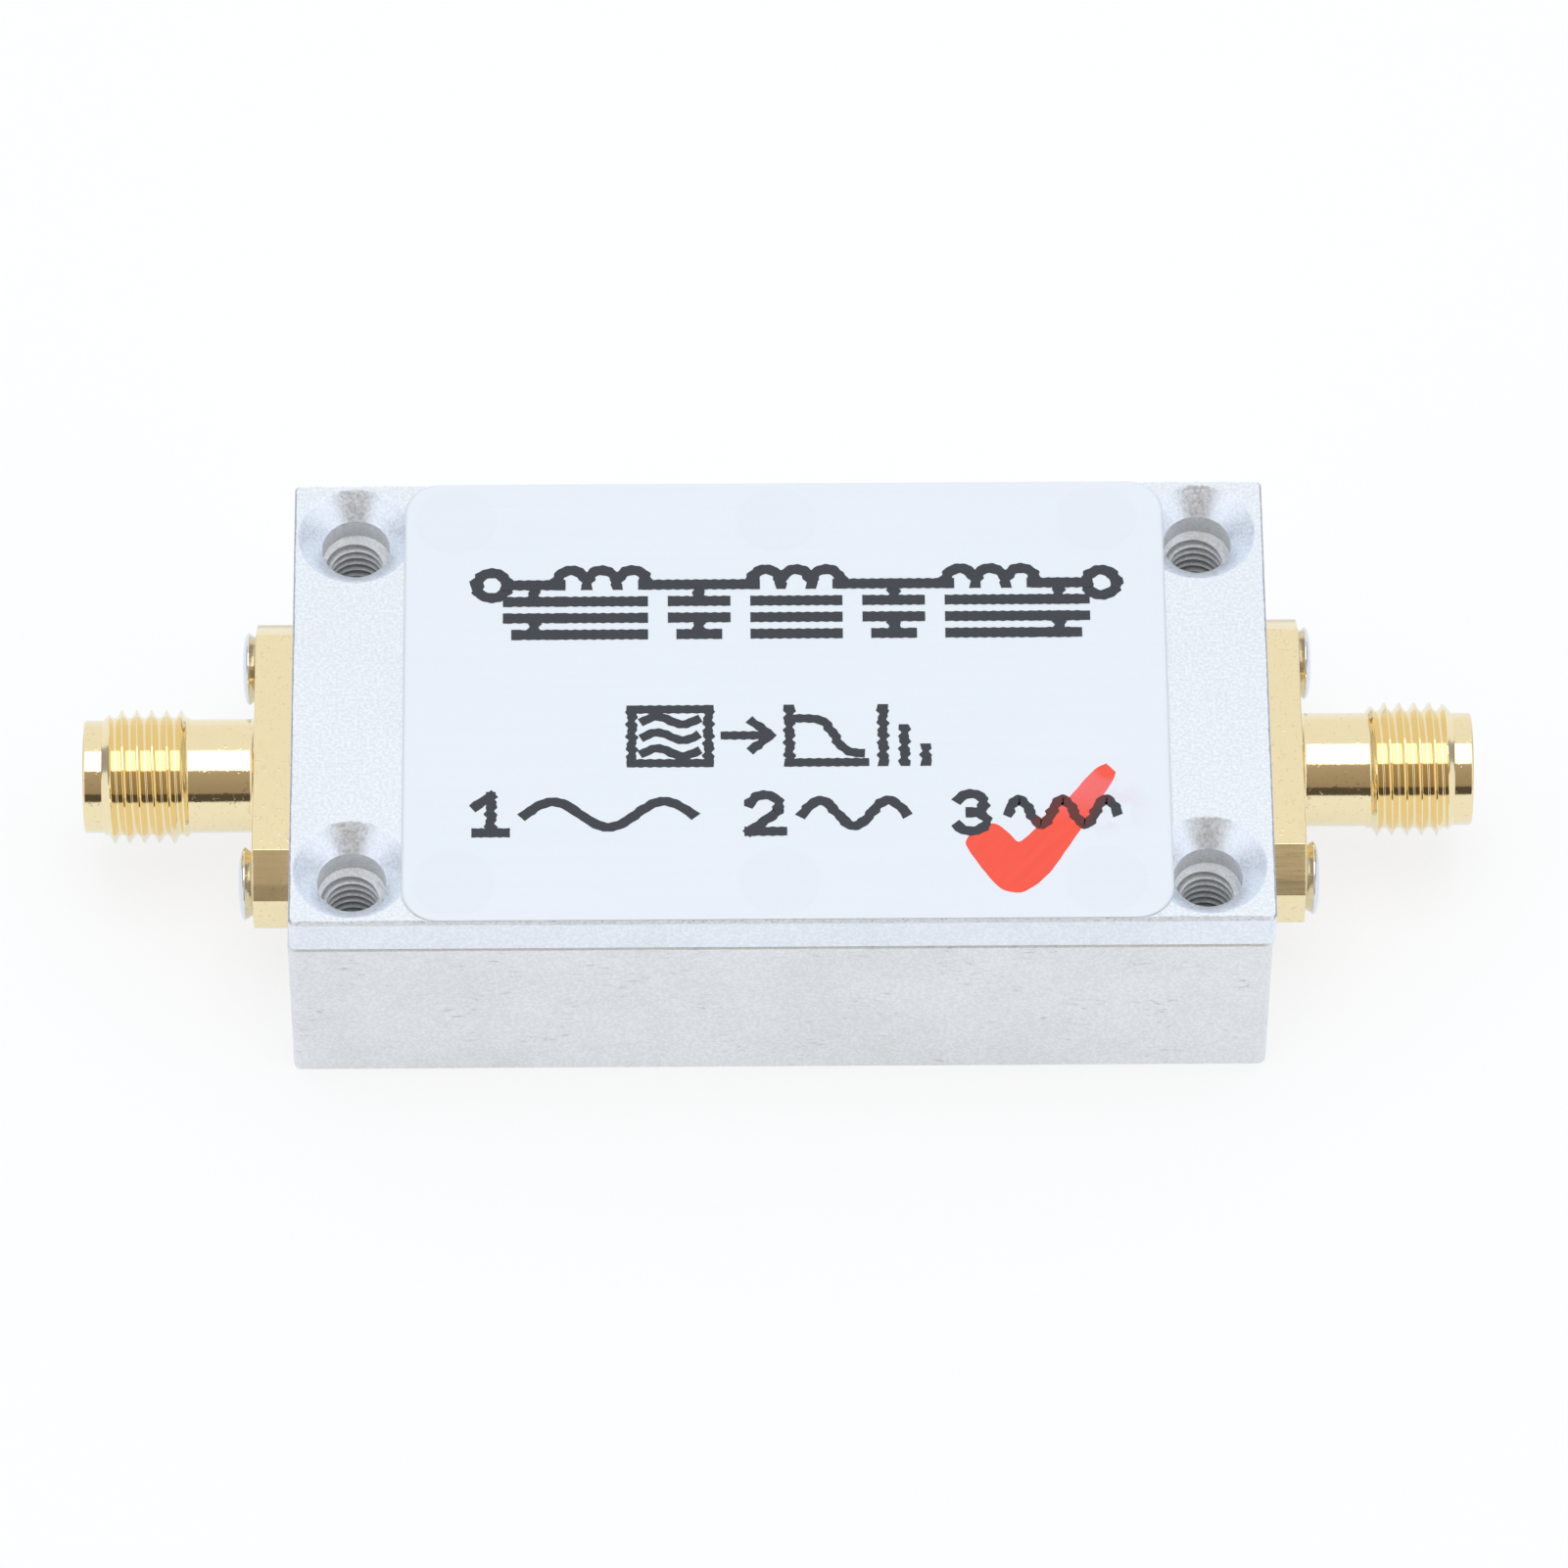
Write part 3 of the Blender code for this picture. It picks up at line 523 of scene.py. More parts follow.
def run_along(points):
    """Distance of each point from the first, along the bent line through all of them."""
    return np.append(0.0, np.cumsum(np.linalg.norm(np.diff(points, axis=0), axis=1)))


def at_stations(stations, run, table):
    """The columns of a table at new stations along its run."""
    return np.stack([np.interp(stations, run, column) for column in table.T], axis=1)


def rounded(corners, radius, steps, spacing=None):
    """Outline through the given corners with each one rounded, and the outward direction at every point.

    An arc's centre is back from its corner by radius / (1 + n1.n2) along n1 + n2, where n1 and n2 are the
    outward directions of the two sides. The direction turns evenly from n1 to n2. With a spacing the
    straight sides get points between, at about that distance.
    """
    corners = np.array(corners, float)
    side = np.roll(corners, -1, axis=0) - corners
    side /= np.linalg.norm(side, axis=1, keepdims=True)
    after = np.stack([-side[:, 1], side[:, 0]], axis=1)
    before = np.roll(after, 1, axis=0)
    dot = (before * after).sum(axis=1, keepdims=True)
    centre = corners - radius / (1.0 + dot) * (before + after)
    turn = np.linspace(0.0, 1.0, steps + 1)[None, :, None] * np.arccos(dot)[:, :, None]
    across = after - dot * before
    across /= np.linalg.norm(across, axis=1, keepdims=True)
    outward = np.cos(turn) * before[:, None] + np.sin(turn) * across[:, None]
    points = (centre[:, None] + radius * outward).reshape(-1, 2)
    outward = outward.reshape(-1, 2)
    if spacing is None:
        return points, outward
    table = np.hstack([points, outward])
    table = np.vstack([table, table[:1]])
    run = run_along(table[:, :2])
    stations = np.unique(np.append(run[:-1], np.arange(0.0, run[-1], spacing)))
    table = at_stations(stations, run, table)
    return table[:, :2], table[:, 2:]


def rectangle(length, width):
    """Corners of a rectangle about the origin, going round clockwise."""
    x, y = length / 2, width / 2
    return [(-x, y), (x, y), (x, -y), (-x, -y)]


def lying(flat, height):
    """Outline along X and Y."""
    return np.stack([flat[..., 0], flat[..., 1], height], axis=-1)


def slab(name, outline, levels, place=lying):
    """Closed body through the same outline at several levels, each an inward step and a height.

    A step moves a point against its outward direction. Steps and heights may differ from point to point.
    """
    points, outward = outline
    count, last_row = len(points), len(levels) - 1
    inwards, heights = (np.stack([np.broadcast_to(v, count) for v in column]) for column in zip(*levels))
    grid = place(points - inwards[..., None] * outward, heights)
    looped = np.concatenate([grid, grid[:, :1]], axis=1)
    ends = [list(range(start, start + count)) for start in (0, last_row * (count + 1))]
    return closed(name, looped.reshape(-1, 3), cells(last_row + 1, count + 1).tolist() + ends)


def wavering(run, sizes):
    """Uneven line from about -1 to 1: the sum of sine waves of the given lengths, started apart."""
    waves = [np.sin(run * math.tau / size + 1.7 * number ** 1.3) for number, size in enumerate(sizes)]
    return np.sum(waves, axis=0) / len(sizes) ** 0.5


def carved(mesh, operation, tools):
    """The mesh after Boolean steps with each of the tools, whose faces keep their own material."""
    work = in_scene(mesh.name, mesh)
    things = [work]
    for tool in tools:
        modifier = work.modifiers.new(operation, "BOOLEAN")
        modifier.operation = operation
        modifier.solver = "EXACT"
        modifier.material_mode = "TRANSFER" if tool.materials else "INDEX"
        modifier.object = in_scene(tool.name, tool)
        things.append(modifier.object)
    result = bpy.data.meshes.new_from_object(work.evaluated_get(bpy.context.evaluated_depsgraph_get()))
    for thing in things:
        bpy.data.objects.remove(thing, do_unlink=True)
    return result


def sink(x, y, hole, mouth, edge):
    """Cutter for a countersunk hole: a shaft, a right-angled cone and a fine broken edge at the top."""
    low, high, wide = LID_FLOOR - OVERSHOOT, LID_TOP + OVERSHOOT, mouth + 0.6 * edge
    profile = [
        (low, 0.0), (low, hole), (LID_TOP - (mouth - hole), hole), (LID_TOP - edge, mouth - edge),
        (LID_TOP, wide), (high, wide), (high, 0.0),
    ]
    tool = sheet("sink", upright(turned(profile, SINK_COLUMNS), x, y))
    tool.materials.append(cut_metal)
    return tool


def lid_plate():
    """Rounded plate whose upper edge is filed off at 45 degrees.

    The filed width wavers along the edge, and is 0.6 times as wide on the short sides.
    """
    outline, outward = rounded(rectangle(LID_LENGTH, LID_WIDTH), LID_CORNER, steps=6, spacing=0.12)
    width = FILED_WIDTH + FILED_WAVER * wavering(run_along(outline), (7.3, 2.9, 1.13, 0.53))
    edge = (0.6 + 0.4 * np.abs(outward[:, 1])) * width
    levels = [(LOWER_EDGE, LID_FLOOR), (0.0, LID_FLOOR + LOWER_EDGE), (0.0, LID_TOP - edge), (edge, LID_TOP)]
    return slab("lid", (outline + np.array([LID_SHIFT, 0.0]), outward), levels)


def filed_edge(mesh, metal):
    """Gives the slanted faces along the plate's upper edge a metal of their own."""
    mesh.materials.append(metal)
    for polygon in mesh.polygons:
        high = polygon.center.z > (LID_TOP - FILED_LIMIT) * MM
        if high and 0.2 < polygon.normal.z < 0.9 and polygon.material_index == 0:
            polygon.material_index = len(mesh.materials) - 1


def countersunk_metal():
    """Cut aluminium, bright in the cones and duller in the straight wall of each hole."""
    s = new_finish("countersunk metal")
    straight = s.rise(s.along(s.place())[2], CONE_FOOT + 0.02, CONE_FOOT - 0.02)
    colour = s.blend(straight, CONE_COLOUR, STRAIGHT_COLOUR)
    return torn_metal(s, colour, 0.80 - 0.70 * straight, 0.35 + 0.2 * straight, 0.003)


def filed_metal():
    """Filed aluminium of the lid's upper edge, with painted shade darkening it along the two short sides."""
    s = new_finish("filed metal")
    x = s.along(s.place())[0]
    # Painted shade: the filed edge is made much darker along the two short sides.
    side = s.rise(abs(x - LID_SHIFT), LID_LENGTH / 2 - 0.20, LID_LENGTH / 2 - 0.15)
    colour = s.blend(side, FILED_COLOUR, FILED_SIDE_SHADE_COLOUR)
    return torn_metal(s, colour, 0.50 + 0.30 * side, 0.34, 0.008)


cut_metal = countersunk_metal()
# The lid's sides, below the filed edge, are made paler by painted light.
lid_metal = blasted_aluminium(
    "lid metal", LID_COLOUR, LID_CLOUD_COLOUR,
    sparkle=0.115, rubs=0.0, relief=0.010, painted_side_light_below=LID_TOP - FILED_LIMIT,
)
plain_lid = lid_plate()
plain_lid.materials.append(lid_metal)
lid_screw_places = [(column * LID_SCREW_X, side * LID_SCREW_Y) for side in (-1, 1) for column in (-1, 0, 1)]
sinks = [sink(x, y, HOLE_RADIUS, SINK_RADIUS, SINK_EDGE) for x, y in corner_places]
sinks += [sink(x, y, LID_SCREW_HOLE, LID_SCREW_SINK, LID_SCREW_EDGE) for x, y in lid_screw_places]
lid = carved(plain_lid, "DIFFERENCE", sinks)
filed_edge(lid, filed_metal())
piece("lid_plate", lid, lid_metal, ["lid"])


# The label is a thin white film with a satin face, stuck on the lid from its front edge to its back edge.
# It has round corners and lies over the six lid screws, whose heads show through as faint round swellings.
# Its ends reach a little over the corner countersinks.
LABEL_LENGTH = 36.0
LABEL_WIDTH = 24.8
LABEL_CORNER = 1.7
LABEL_SHIFT = 0.35
LABEL_FACE = LID_TOP + 0.065
LABEL_THICKNESS = 0.06
LABEL_COLOUR = (0.756, 0.793, 0.829)
SMUDGE_COLOUR = (0.74, 0.62, 0.70)
SMUDGE_PLACE = (15.4, -6.3)
SMUDGE_REACH = (2.5, 0.5)
FILM_WAVES = 0.003
SWELLING = 0.030
SWELLING_RADIUS = 1.85
SWELLING_SLOPE = 0.09
DISC_EDGE = (1.98, 1.84)
LABEL_ROWS = 125
LABEL_COLUMNS = 201


def label_sheet():
    """Grid over the film: y runs from edge to edge, and x evenly over the length that is left there.

    Within a corner's radius r of the edge, the half length is short by r - sqrt(r^2 - d^2), d being how far
    y lies into the corner. Rows lie closer there. The height waves a little and rises over each screw.
    """
    half, r = LABEL_WIDTH / 2, LABEL_CORNER
    bend = half - r + r * np.sin(np.linspace(0.0, math.pi / 2, 13))
    y = np.concatenate([-bend[::-1], np.linspace(-half + r, half - r, LABEL_ROWS)[1:-1], bend])
    into = np.clip(np.abs(y) - (half - r), 0.0, r)
    half_length = LABEL_LENGTH / 2 - (r - np.sqrt(r * r - into * into))
    x = LABEL_SHIFT + half_length[:, None] * np.linspace(-1.0, 1.0, LABEL_COLUMNS)
    y = np.broadcast_to(y[:, None], x.shape)
    z = LABEL_FACE + FILM_WAVES * np.sin(x * 0.31 + 1.0) * np.sin(y * 0.43)
    for screw_x, screw_y in lid_screw_places:
        away = np.hypot(x - screw_x, y - screw_y)
        z = z + SWELLING * 0.5 * (1.0 - np.tanh((away - SWELLING_RADIUS) / SWELLING_SLOPE))
    return sheet("label", np.stack([x, y, z], axis=-1))


def label_film():
    """White film with a paper-like tooth, the faint rows that a printer leaves and a smudge of pink ink."""
    s = new_finish("label film")
    place, x, y, z = s.spot()
    cloud = s.noise(place, 7.0, 3.0) - 0.5
    tooth = s.noise(place, 0.10)
    rows = s.noise(s.vector(x * 0.02, y, z), 0.22, 1.0)
    to_screw_x = abs(abs(x) - LID_SCREW_X / 2) - LID_SCREW_X / 2
    over_screw = s.rise(s.far(to_screw_x, abs(y) - LID_SCREW_Y), *DISC_EDGE)
    tone = 1.0 + 0.012 * cloud + 0.03 * (tooth - 0.5) + 0.02 * (rows - 0.5) - 0.016 * over_screw
    near_tick = s.rise(s.far(x - SMUDGE_PLACE[0], y - SMUDGE_PLACE[1]), *SMUDGE_REACH)
    smudge = near_tick * s.rise(s.noise(place, 1.3), 0.42, 0.70) * 0.45
    return s.principled(
        Base_Color=s.times(s.blend(smudge, LABEL_COLOUR, SMUDGE_COLOUR), tone),
        Roughness=0.40 + 0.12 * cloud + 0.08 * (tooth - 0.5),
        Normal=s.bump(tooth + 0.6 * rows, 0.0012), Specular_IOR_Level=0.45,
    )


label = piece("label_sheet", label_sheet(), label_film(), ["label"])
if sum(polygon.normal.z for polygon in label.data.polygons) < 0.0:
    label.data.flip_normals()
thickness = label.modifiers.new("film thickness", "SOLIDIFY")
thickness.thickness = LABEL_THICKNESS * MM
thickness.offset = -1.0


# The print is dark grey ink in three rows, laid down in fine lines that leave its edges ragged. It shows
# plain signs only: a ladder of coils and capacitors, a block and its response, and three numbers with
# waves. Each stroke is a very thin layer on the film.
INK_FLOOR = LABEL_FACE + 0.004
INK_DEPTH = 0.006
INK_STEP = 0.00037
INK_COLOUR = (0.034, 0.036, 0.044)
INK_UNDER_RED = (0.115, 0.022, 0.018)
HEADING_STROKE = 0.56
SECOND_STROKE = 0.46
NUMBER_STROKE = 0.50
RAGGED_PERIOD = 0.36
RAGGED_DEPTH = 0.10
LADDER_LINE = 6.55
LADDER_DEPTHS = (0.95, 1.90, 2.85)
LADDER_PORTS = (-13.5, 15.35)
LADDER_COILS = (-8.3, 0.9, 10.1)
LADDER_CAPACITORS = (-11.5, -3.7, 5.5, 13.3)
PORT_RADIUS = 0.72
HUMP_RADIUS = 0.72
HUMP_HEIGHT = 0.85
CORE_HALF = 1.9
PLATE_HALF = 1.2
GROUND_HALF = 0.8
LADDER_WIRES = ((-12.78, -10.3), (-6.3, -1.1), (2.9, 8.1), (12.1, 14.63))
SIGN_FLOOR = -3.65
SIGN_TOP = -0.60
BLOCK_SIDES = (-6.9, -3.3)
ARROW_LINE = -2.1
NUMBER_FLOOR = -7.52
WAVE_HEIGHT = 0.72
TICK_LINE = ((10.4, -9.2), (11.3, -9.6), (14.9, -4.6))
TICK_REACH = 1.25


def line(*points):
    """Straight or bent line through points, sampled about every 0.06 mm."""
    points = np.array(points, float)
    run = run_along(points)
    return at_stations(np.linspace(0.0, run[-1], max(3, int(run[-1] / 0.06))), run, points)


def bow(x, y, radius_x, radius_y, first, last):
    """Part of an ellipse about (x, y), between two angles in degrees."""
    angles = np.radians(np.linspace(first, last, 48))
    return np.stack([x + radius_x * np.cos(angles), y + radius_y * np.sin(angles)], axis=1)


def wave(x0, x1, y, height, cycles):
    """Sine wave along X between x0 and x1."""
    share = np.linspace(0.0, 1.0, int(40 * cycles))
    return np.stack([x0 + (x1 - x0) * share, y + height * np.sin(share * math.tau * cycles)], axis=1)


def stroke(path, width, height):
    """Closed thin layer along a path: the path moved half a width to each side, with square ends.

    Each point of the edge is then moved outwards: along X by a saw-tooth of its Y and a sine of its place,
    and along Y by a sine of its X. The layer's top is at the given height.
    """
    step = np.gradient(path, axis=0)
    step /= np.linalg.norm(step, axis=1, keepdims=True)
    path = path.copy()
    path[0] -= step[0] * width / 2
    path[-1] += step[-1] * width / 2
    outward = np.stack([-step[:, 1], step[:, 0]], axis=1)[:, None] * np.array([1.0, -1.0])[None, :, None]
    edge = path[:, None] + outward * width / 2
    tooth = 2.0 * np.abs((edge[..., 1] / RAGGED_PERIOD) % 1.0 - 0.5) - 0.5
    tooth += 0.5 * np.sin(edge[..., 1] * 9.7 + edge[..., 0] * 3.1)
    edge[..., 0] += outward[..., 0] * RAGGED_DEPTH * tooth
    edge[..., 1] += outward[..., 1] * 0.018 * np.sin(edge[..., 0] * 14.3)
    return layer(np.dstack([edge, np.full(edge.shape[:2], height)]), INK_DEPTH)


def layer(top, depth):
    """Grid of a closed thin layer: the given grid on top, the same one below it, and the edges joined."""
    low = top - np.array([0.0, 0.0, depth])
    high = np.concatenate([low[:1], top, low[-1:]])
    low = np.concatenate([low[:1], low, low[-1:]])
    return np.concatenate([low[:, :1], high, low[:, ::-1]], axis=1)


def printed(name, paths, width):
    """Mesh of many strokes, each a hair higher than the one before it."""
    heights = INK_FLOOR + INK_DEPTH + INK_STEP * np.arange(len(paths))
    return sheet(name, *(stroke(path, width, height) for path, height in zip(paths, heights)))


def bars(x, y, *sizes):
    """Level bars about x, each with its half length and its depth below y."""
    return [line((x - half, y - depth), (x + half, y - depth)) for half, depth in sizes]


def heading_paths():
    """Ladder of three coils with their iron cores and four capacitors to ground, between two ports."""
    top = LADDER_LINE
    upper, lower, ground = LADDER_DEPTHS
    paths = []
    for x in LADDER_PORTS:
        paths += [bow(x, top, PORT_RADIUS, PORT_RADIUS, turn, turn + 180.0) for turn in (0.0, 180.0)]
    for x in LADDER_COILS:
        for middle in (x - 2.0 * HUMP_RADIUS, x, x + 2.0 * HUMP_RADIUS):
            paths.append(bow(middle, top, HUMP_RADIUS, HUMP_HEIGHT, 180.0, 0.0))
        paths += bars(x, top, *((CORE_HALF, depth) for depth in LADDER_DEPTHS))
    for x in LADDER_CAPACITORS:
        paths += bars(x, top, (PLATE_HALF, upper), (PLATE_HALF, lower), (GROUND_HALF, ground))
        paths += [line((x, top), (x, top - upper)), line((x, top - lower), (x, top - ground))]
    return paths + [line((x0, top), (x1, top)) for x0, x1 in LADDER_WIRES]


def second_paths():
    """Block that passes only low waves, an arrow and the response that it gives."""
    low, high = SIGN_FLOOR, SIGN_TOP
    left, right = BLOCK_SIDES
    paths = [line((left, y), (right, y)) for y in (low, high)]
    paths += [line((x, low), (x, high)) for x in (left, right)]
    paths += [wave(left + 0.6, right - 0.6, low + height, 0.22, 1.0) for height in (0.62, 1.52, 2.42)]
    paths.append(line((-2.5, ARROW_LINE), (-0.5, ARROW_LINE)))
    paths += [line((-1.2, ARROW_LINE + side * 0.75), (-0.4, ARROW_LINE)) for side in (-1, 1)]
    paths += [line((0.5, high), (0.5, low)), line((0.5, low), (4.0, low))]
    share = np.linspace(0.0, 1.0, 60)
    fall = -1.15 - 2.0 / (1.0 + np.exp(-(share - 0.62) * 13.0))
    paths.append(np.stack([0.7 + 3.1 * share, fall], axis=1))
    return paths + [line((x, low), (x, low + height)) for x, height in ((4.9, 3.05), (5.9, 1.9), (6.9, 0.8))]


def one(x, y):
    """The figure 1, standing on y."""
    stem = [line((x - 0.6, y + 1.5), (x + 0.1, y + 2.05)), line((x + 0.1, y + 2.05), (x + 0.1, y))]
    return stem + [line((x - 0.55, y), (x + 0.75, y))]


def two(x, y):
    """The figure 2, standing on y."""
    head = bow(x, y + 1.43, 0.68, 0.62, 165.0, -25.0)
    hook = np.concatenate([head, line((x + 0.62, y + 1.1), (x - 0.7, y))])
    return [hook, line((x - 0.7, y), (x + 0.8, y))]


def three(x, y):
    """The figure 3, standing on y."""
    return [bow(x, y + 1.5, 0.62, 0.55, 150.0, -90.0), bow(x, y + 0.5, 0.70, 0.55, 90.0, -150.0)]


def number_paths():
    """Three plain numbers in a row, each with a quicker wave than the last."""
    low, middle = NUMBER_FLOOR, NUMBER_FLOOR + 1.0
    paths = one(-13.6, low) + [wave(-11.9, -4.1, middle, WAVE_HEIGHT, 1.5)]
    paths += two(-0.7, low) + [wave(1.1, 5.9, middle, WAVE_HEIGHT, 1.5)]
    return paths + three(8.95, low) + [wave(10.7, 15.8, middle, WAVE_HEIGHT, 2.5)]


def ink():
    """Dark ink, a little uneven. Near the line of the red mark it turns brown."""
    s = new_finish("print ink")
    fleck = s.noise(s.place(), 0.12, 3.0)
    red = s.add("ShaderNodeAttribute", {"attribute_name": "under_red"}, {})["Fac"]
    dark = s.blend(red, INK_COLOUR, INK_UNDER_RED)
    return s.principled(
        Base_Color=s.times(dark, 0.75 + 0.5 * fleck), Roughness=0.42 + 0.2 * (fleck - 0.5),
        Normal=s.bump(fleck, 0.002), Specular_IOR_Level=0.4,
    )


def near_line(points, ends):
    """Distance of each point from a bent line."""
    best = np.full(len(points), np.inf)
    for start, end in zip(np.array(ends[:-1]), np.array(ends[1:])):
        way = end - start
        share = np.clip((points - start) @ way / (way @ way), 0.0, 1.0)
        best = np.minimum(best, np.linalg.norm(points - start - share[:, None] * way, axis=1))
    return best


def mark_under_red(mesh):
    """Stores at each point 1 where it lies under the red mark, 0 outside and a short slope between."""
    places = np.empty(len(mesh.vertices) * 3, np.float32)
    mesh.vertices.foreach_get("co", places)
    away = near_line(places.reshape(-1, 3)[:, :2] / MM, TICK_LINE)
    share = np.clip((TICK_REACH - away) / 0.3, 0.0, 1.0)
    mesh.attributes.new("under_red", "FLOAT", "POINT").data.foreach_set("value", share.astype(np.float32))


print_ink = ink()
for name, paths, width in (
    ("printed_heading", heading_paths(), HEADING_STROKE),
    ("printed_signs", second_paths(), SECOND_STROKE),
    ("printed_numbers", number_paths(), NUMBER_STROKE),
):
    mesh = printed(name, paths, width)
    mark_under_red(mesh)
    piece(name, mesh, print_ink)


# A red felt pen has ticked the last number. Its thin clear ink is pinker towards the upper right, is red
# again at the very tip, and lets the print show through as brown.
TICK_FACE = LABEL_FACE + 0.0035
TICK_UPPER = (
    (8.66, -8.25), (8.75, -7.92), (9.20, -7.45), (9.84, -7.10), (10.30, -7.25), (10.75, -7.75),
    (11.16, -8.28), (12.20, -7.20), (13.60, -5.66), (14.50, -4.45), (15.02, -3.92), (15.40, -3.78),
)
TICK_LOWER = (
    (8.66, -8.30), (8.93, -8.86), (9.57, -9.91), (10.21, -10.79), (10.93, -11.08), (11.51, -10.93),
    (12.15, -10.40), (12.70, -9.76), (13.91, -7.76), (14.86, -6.09), (15.66, -4.75), (15.80, -4.22),
)
TICK_TIP = (15.45, -4.05)
TICK_DEPTH = 0.003
TICK_COLOUR = (0.890, 0.082, 0.042)
TICK_PINK = (0.885, 0.138, 0.130)


def tick_top():
    """Grid between the upper and the lower edge of the tick, each followed by its own length.

    Each edge is smoothed by a weighted mean of 15 neighbours and wavers by a hundredth of a millimetre.
    Across, the grid runs evenly from one edge to the other.
    """
    weights = np.hanning(15) / np.hanning(15).sum()
    edges = []
    for number, corners in enumerate((TICK_UPPER, TICK_LOWER)):
        corners = np.array(corners)
        run = run_along(corners)
        stations = np.linspace(0.0, run[-1], 160)
        padded = np.pad(at_stations(stations, run, corners), ((7, 7), (0, 0)), mode="edge")
        smooth = np.stack([np.convolve(column, weights, "valid") for column in padded.T], axis=1)
        smooth[:, 1] += 0.012 * np.sin(stations * 7.1 + number)
        edges.append(smooth)
    share = np.linspace(0.0, 1.0, 13)[None, :, None]
    flat = edges[0][:, None] * (1.0 - share) + edges[1][:, None] * share
    return np.dstack([flat, np.full(flat.shape[:2], TICK_FACE)])


def marker_ink():
    """Red ink, pinker to the upper right and red again at the tip, faintly streaked along the pen's way."""
    s = new_finish("marker ink")
    x, y = s.along(s.place())[:2]
    along_pen = x * 0.6 + y * 0.8
    across_pen = x * 0.8 - y * 0.6
    streak = s.noise(s.vector(along_pen * 0.12, across_pen, 0.0), 0.35)
    from_tip = s.far(x - TICK_TIP[0], y - TICK_TIP[1])
    pink = s.rise(y, -7.2, -5.2) * s.rise(from_tip, 0.45, 0.85)
    colour = s.blend(pink, TICK_COLOUR, TICK_PINK)
    return s.principled(
        Base_Color=s.times(colour, 0.92 + 0.16 * streak), Roughness=0.38 + 0.1 * streak,
        Normal=s.bump(streak, 0.002), Specular_IOR_Level=0.4,
    )


piece("red_tick", sheet("red_tick", layer(tick_top(), TICK_DEPTH)), marker_ink())


# Each jack is turned and milled from brass and gold plated. Two screws hold its flange on the end wall.
# The barrel has a smooth neck, a thread of 36 turns to the inch, a plain nose and a bore for the plug.
# The plating is smooth and yellow, with fine scratches, and the flange's slanted corners are brushed.
HOUSING_END = 23.0
AXIS_HEIGHT = 6.4
FLANGE_LENGTH = 15.8
FLANGE_HEIGHT = 5.8
FLANGE_BACK = 0.02
FLANGE_FACE = 1.8
FLANGE_CHAMFER = 1.75
FLANGE_FOLD = 0.07
FLANGE_SCREW_Y = 6.15
FLANGE_SCREW_HOLE = 1.2
NECK_RADIUS = 2.7
NECK_FILLET = 0.2
THREAD_START = 4.9
THREAD_END = 8.9
THREAD_RADIUS = 3.175
THREAD_PITCH = 25.4 / 36
THREAD_PHASE = 0.12
THREAD_ROOT = 2.78
THREAD_FADE = 0.35
NOSE_RADIUS = 2.675
NOSE_TIP = 9.9
NOSE_ROUND = 0.13
BORE_RADIUS = 2.3
BORE_BOTTOM = 7.95
BORE_BACK_RADIUS = 2.25
BORE_ROUND = 0.09
JACK_COLUMNS = 96
FLANGE_HOLE_COLUMNS = 40
THREAD_CREST = 0.085
VALLEY = np.linspace(0.0, 1.0, 15)[:-1]
VALLEY_PLACES = THREAD_CREST + (1.0 - THREAD_CREST) * VALLEY
JACK_FORM = [(0.0, 1.0)] + list(zip(VALLEY_PLACES, 1.0 - np.sin(math.pi * VALLEY)))
GOLD = (0.945, 0.775, 0.450)


def arc(place, radius, size, first, last):
    """Profile points on an arc about (place, radius), its angles in degrees from the X direction."""
    angles = np.radians(np.linspace(first, last, 7))
    return np.stack([place + size * np.cos(angles), radius + size * np.sin(angles)], axis=1)


def barrel_grid():
    """Grid of the barrel's outside, from inside the flange to the middle of its tip.

    The thread has flat crests, and valleys like half a sine wave. Its height over the root grows from
    nothing at the inner end, is no more than the distance to the outer end, where the plug starts, and is
    worn unevenly by about a hundredth.
    """
    back = np.concatenate([
        [(FLANGE_FACE - 0.5, 0.0), (FLANGE_FACE - 0.5, NECK_RADIUS + NECK_FILLET)],
        arc(FLANGE_FACE + NECK_FILLET, NECK_RADIUS + NECK_FILLET, NECK_FILLET, 180.0, 270.0),
        [(THREAD_START, NECK_RADIUS)],
    ])
    front = np.concatenate([
        [(THREAD_END + THREAD_ROOT - NOSE_RADIUS, NOSE_RADIUS)],
        arc(NOSE_TIP - NOSE_ROUND, NOSE_RADIUS - NOSE_ROUND, NOSE_ROUND, 90.0, 0.0), [(NOSE_TIP, 0.0)],
    ])
    places, angles, heights = helix(
        THREAD_START, THREAD_END, THREAD_PITCH, JACK_FORM, JACK_COLUMNS, THREAD_PHASE,
    )
    angles = np.where(angles >= math.tau, 0.0, angles)
    wear = 1.0 - 0.006 * (1.0 + np.sin(angles * 3.0 + places * 1.9) * np.sin(angles * 7.0 - places * 5.1))
    growth = np.clip((places - THREAD_START) / THREAD_FADE, 0.0, 1.0)
    height = (THREAD_RADIUS - THREAD_ROOT) * heights * wear * growth
    thread = around(places, THREAD_ROOT + np.minimum(height, THREAD_END - places), angles)
    return np.concatenate([turned(back, JACK_COLUMNS), thread, turned(front, JACK_COLUMNS)])


def bore_grid():
    """Cutter for the bore: narrow through the flange, wide for the plug, with a finely rounded mouth."""
    mouth = BORE_RADIUS + BORE_ROUND
    return turned(np.concatenate([
        [(-OVERSHOOT, 0.0), (-OVERSHOOT, BORE_BACK_RADIUS), (BORE_BOTTOM, BORE_BACK_RADIUS)],
        [(BORE_BOTTOM, BORE_RADIUS)], arc(NOSE_TIP - BORE_ROUND, mouth, BORE_ROUND, 270.0, 360.0),
        [(NOSE_TIP + OVERSHOOT, mouth), (NOSE_TIP + OVERSHOOT, 0.0)],
    ]), JACK_COLUMNS)


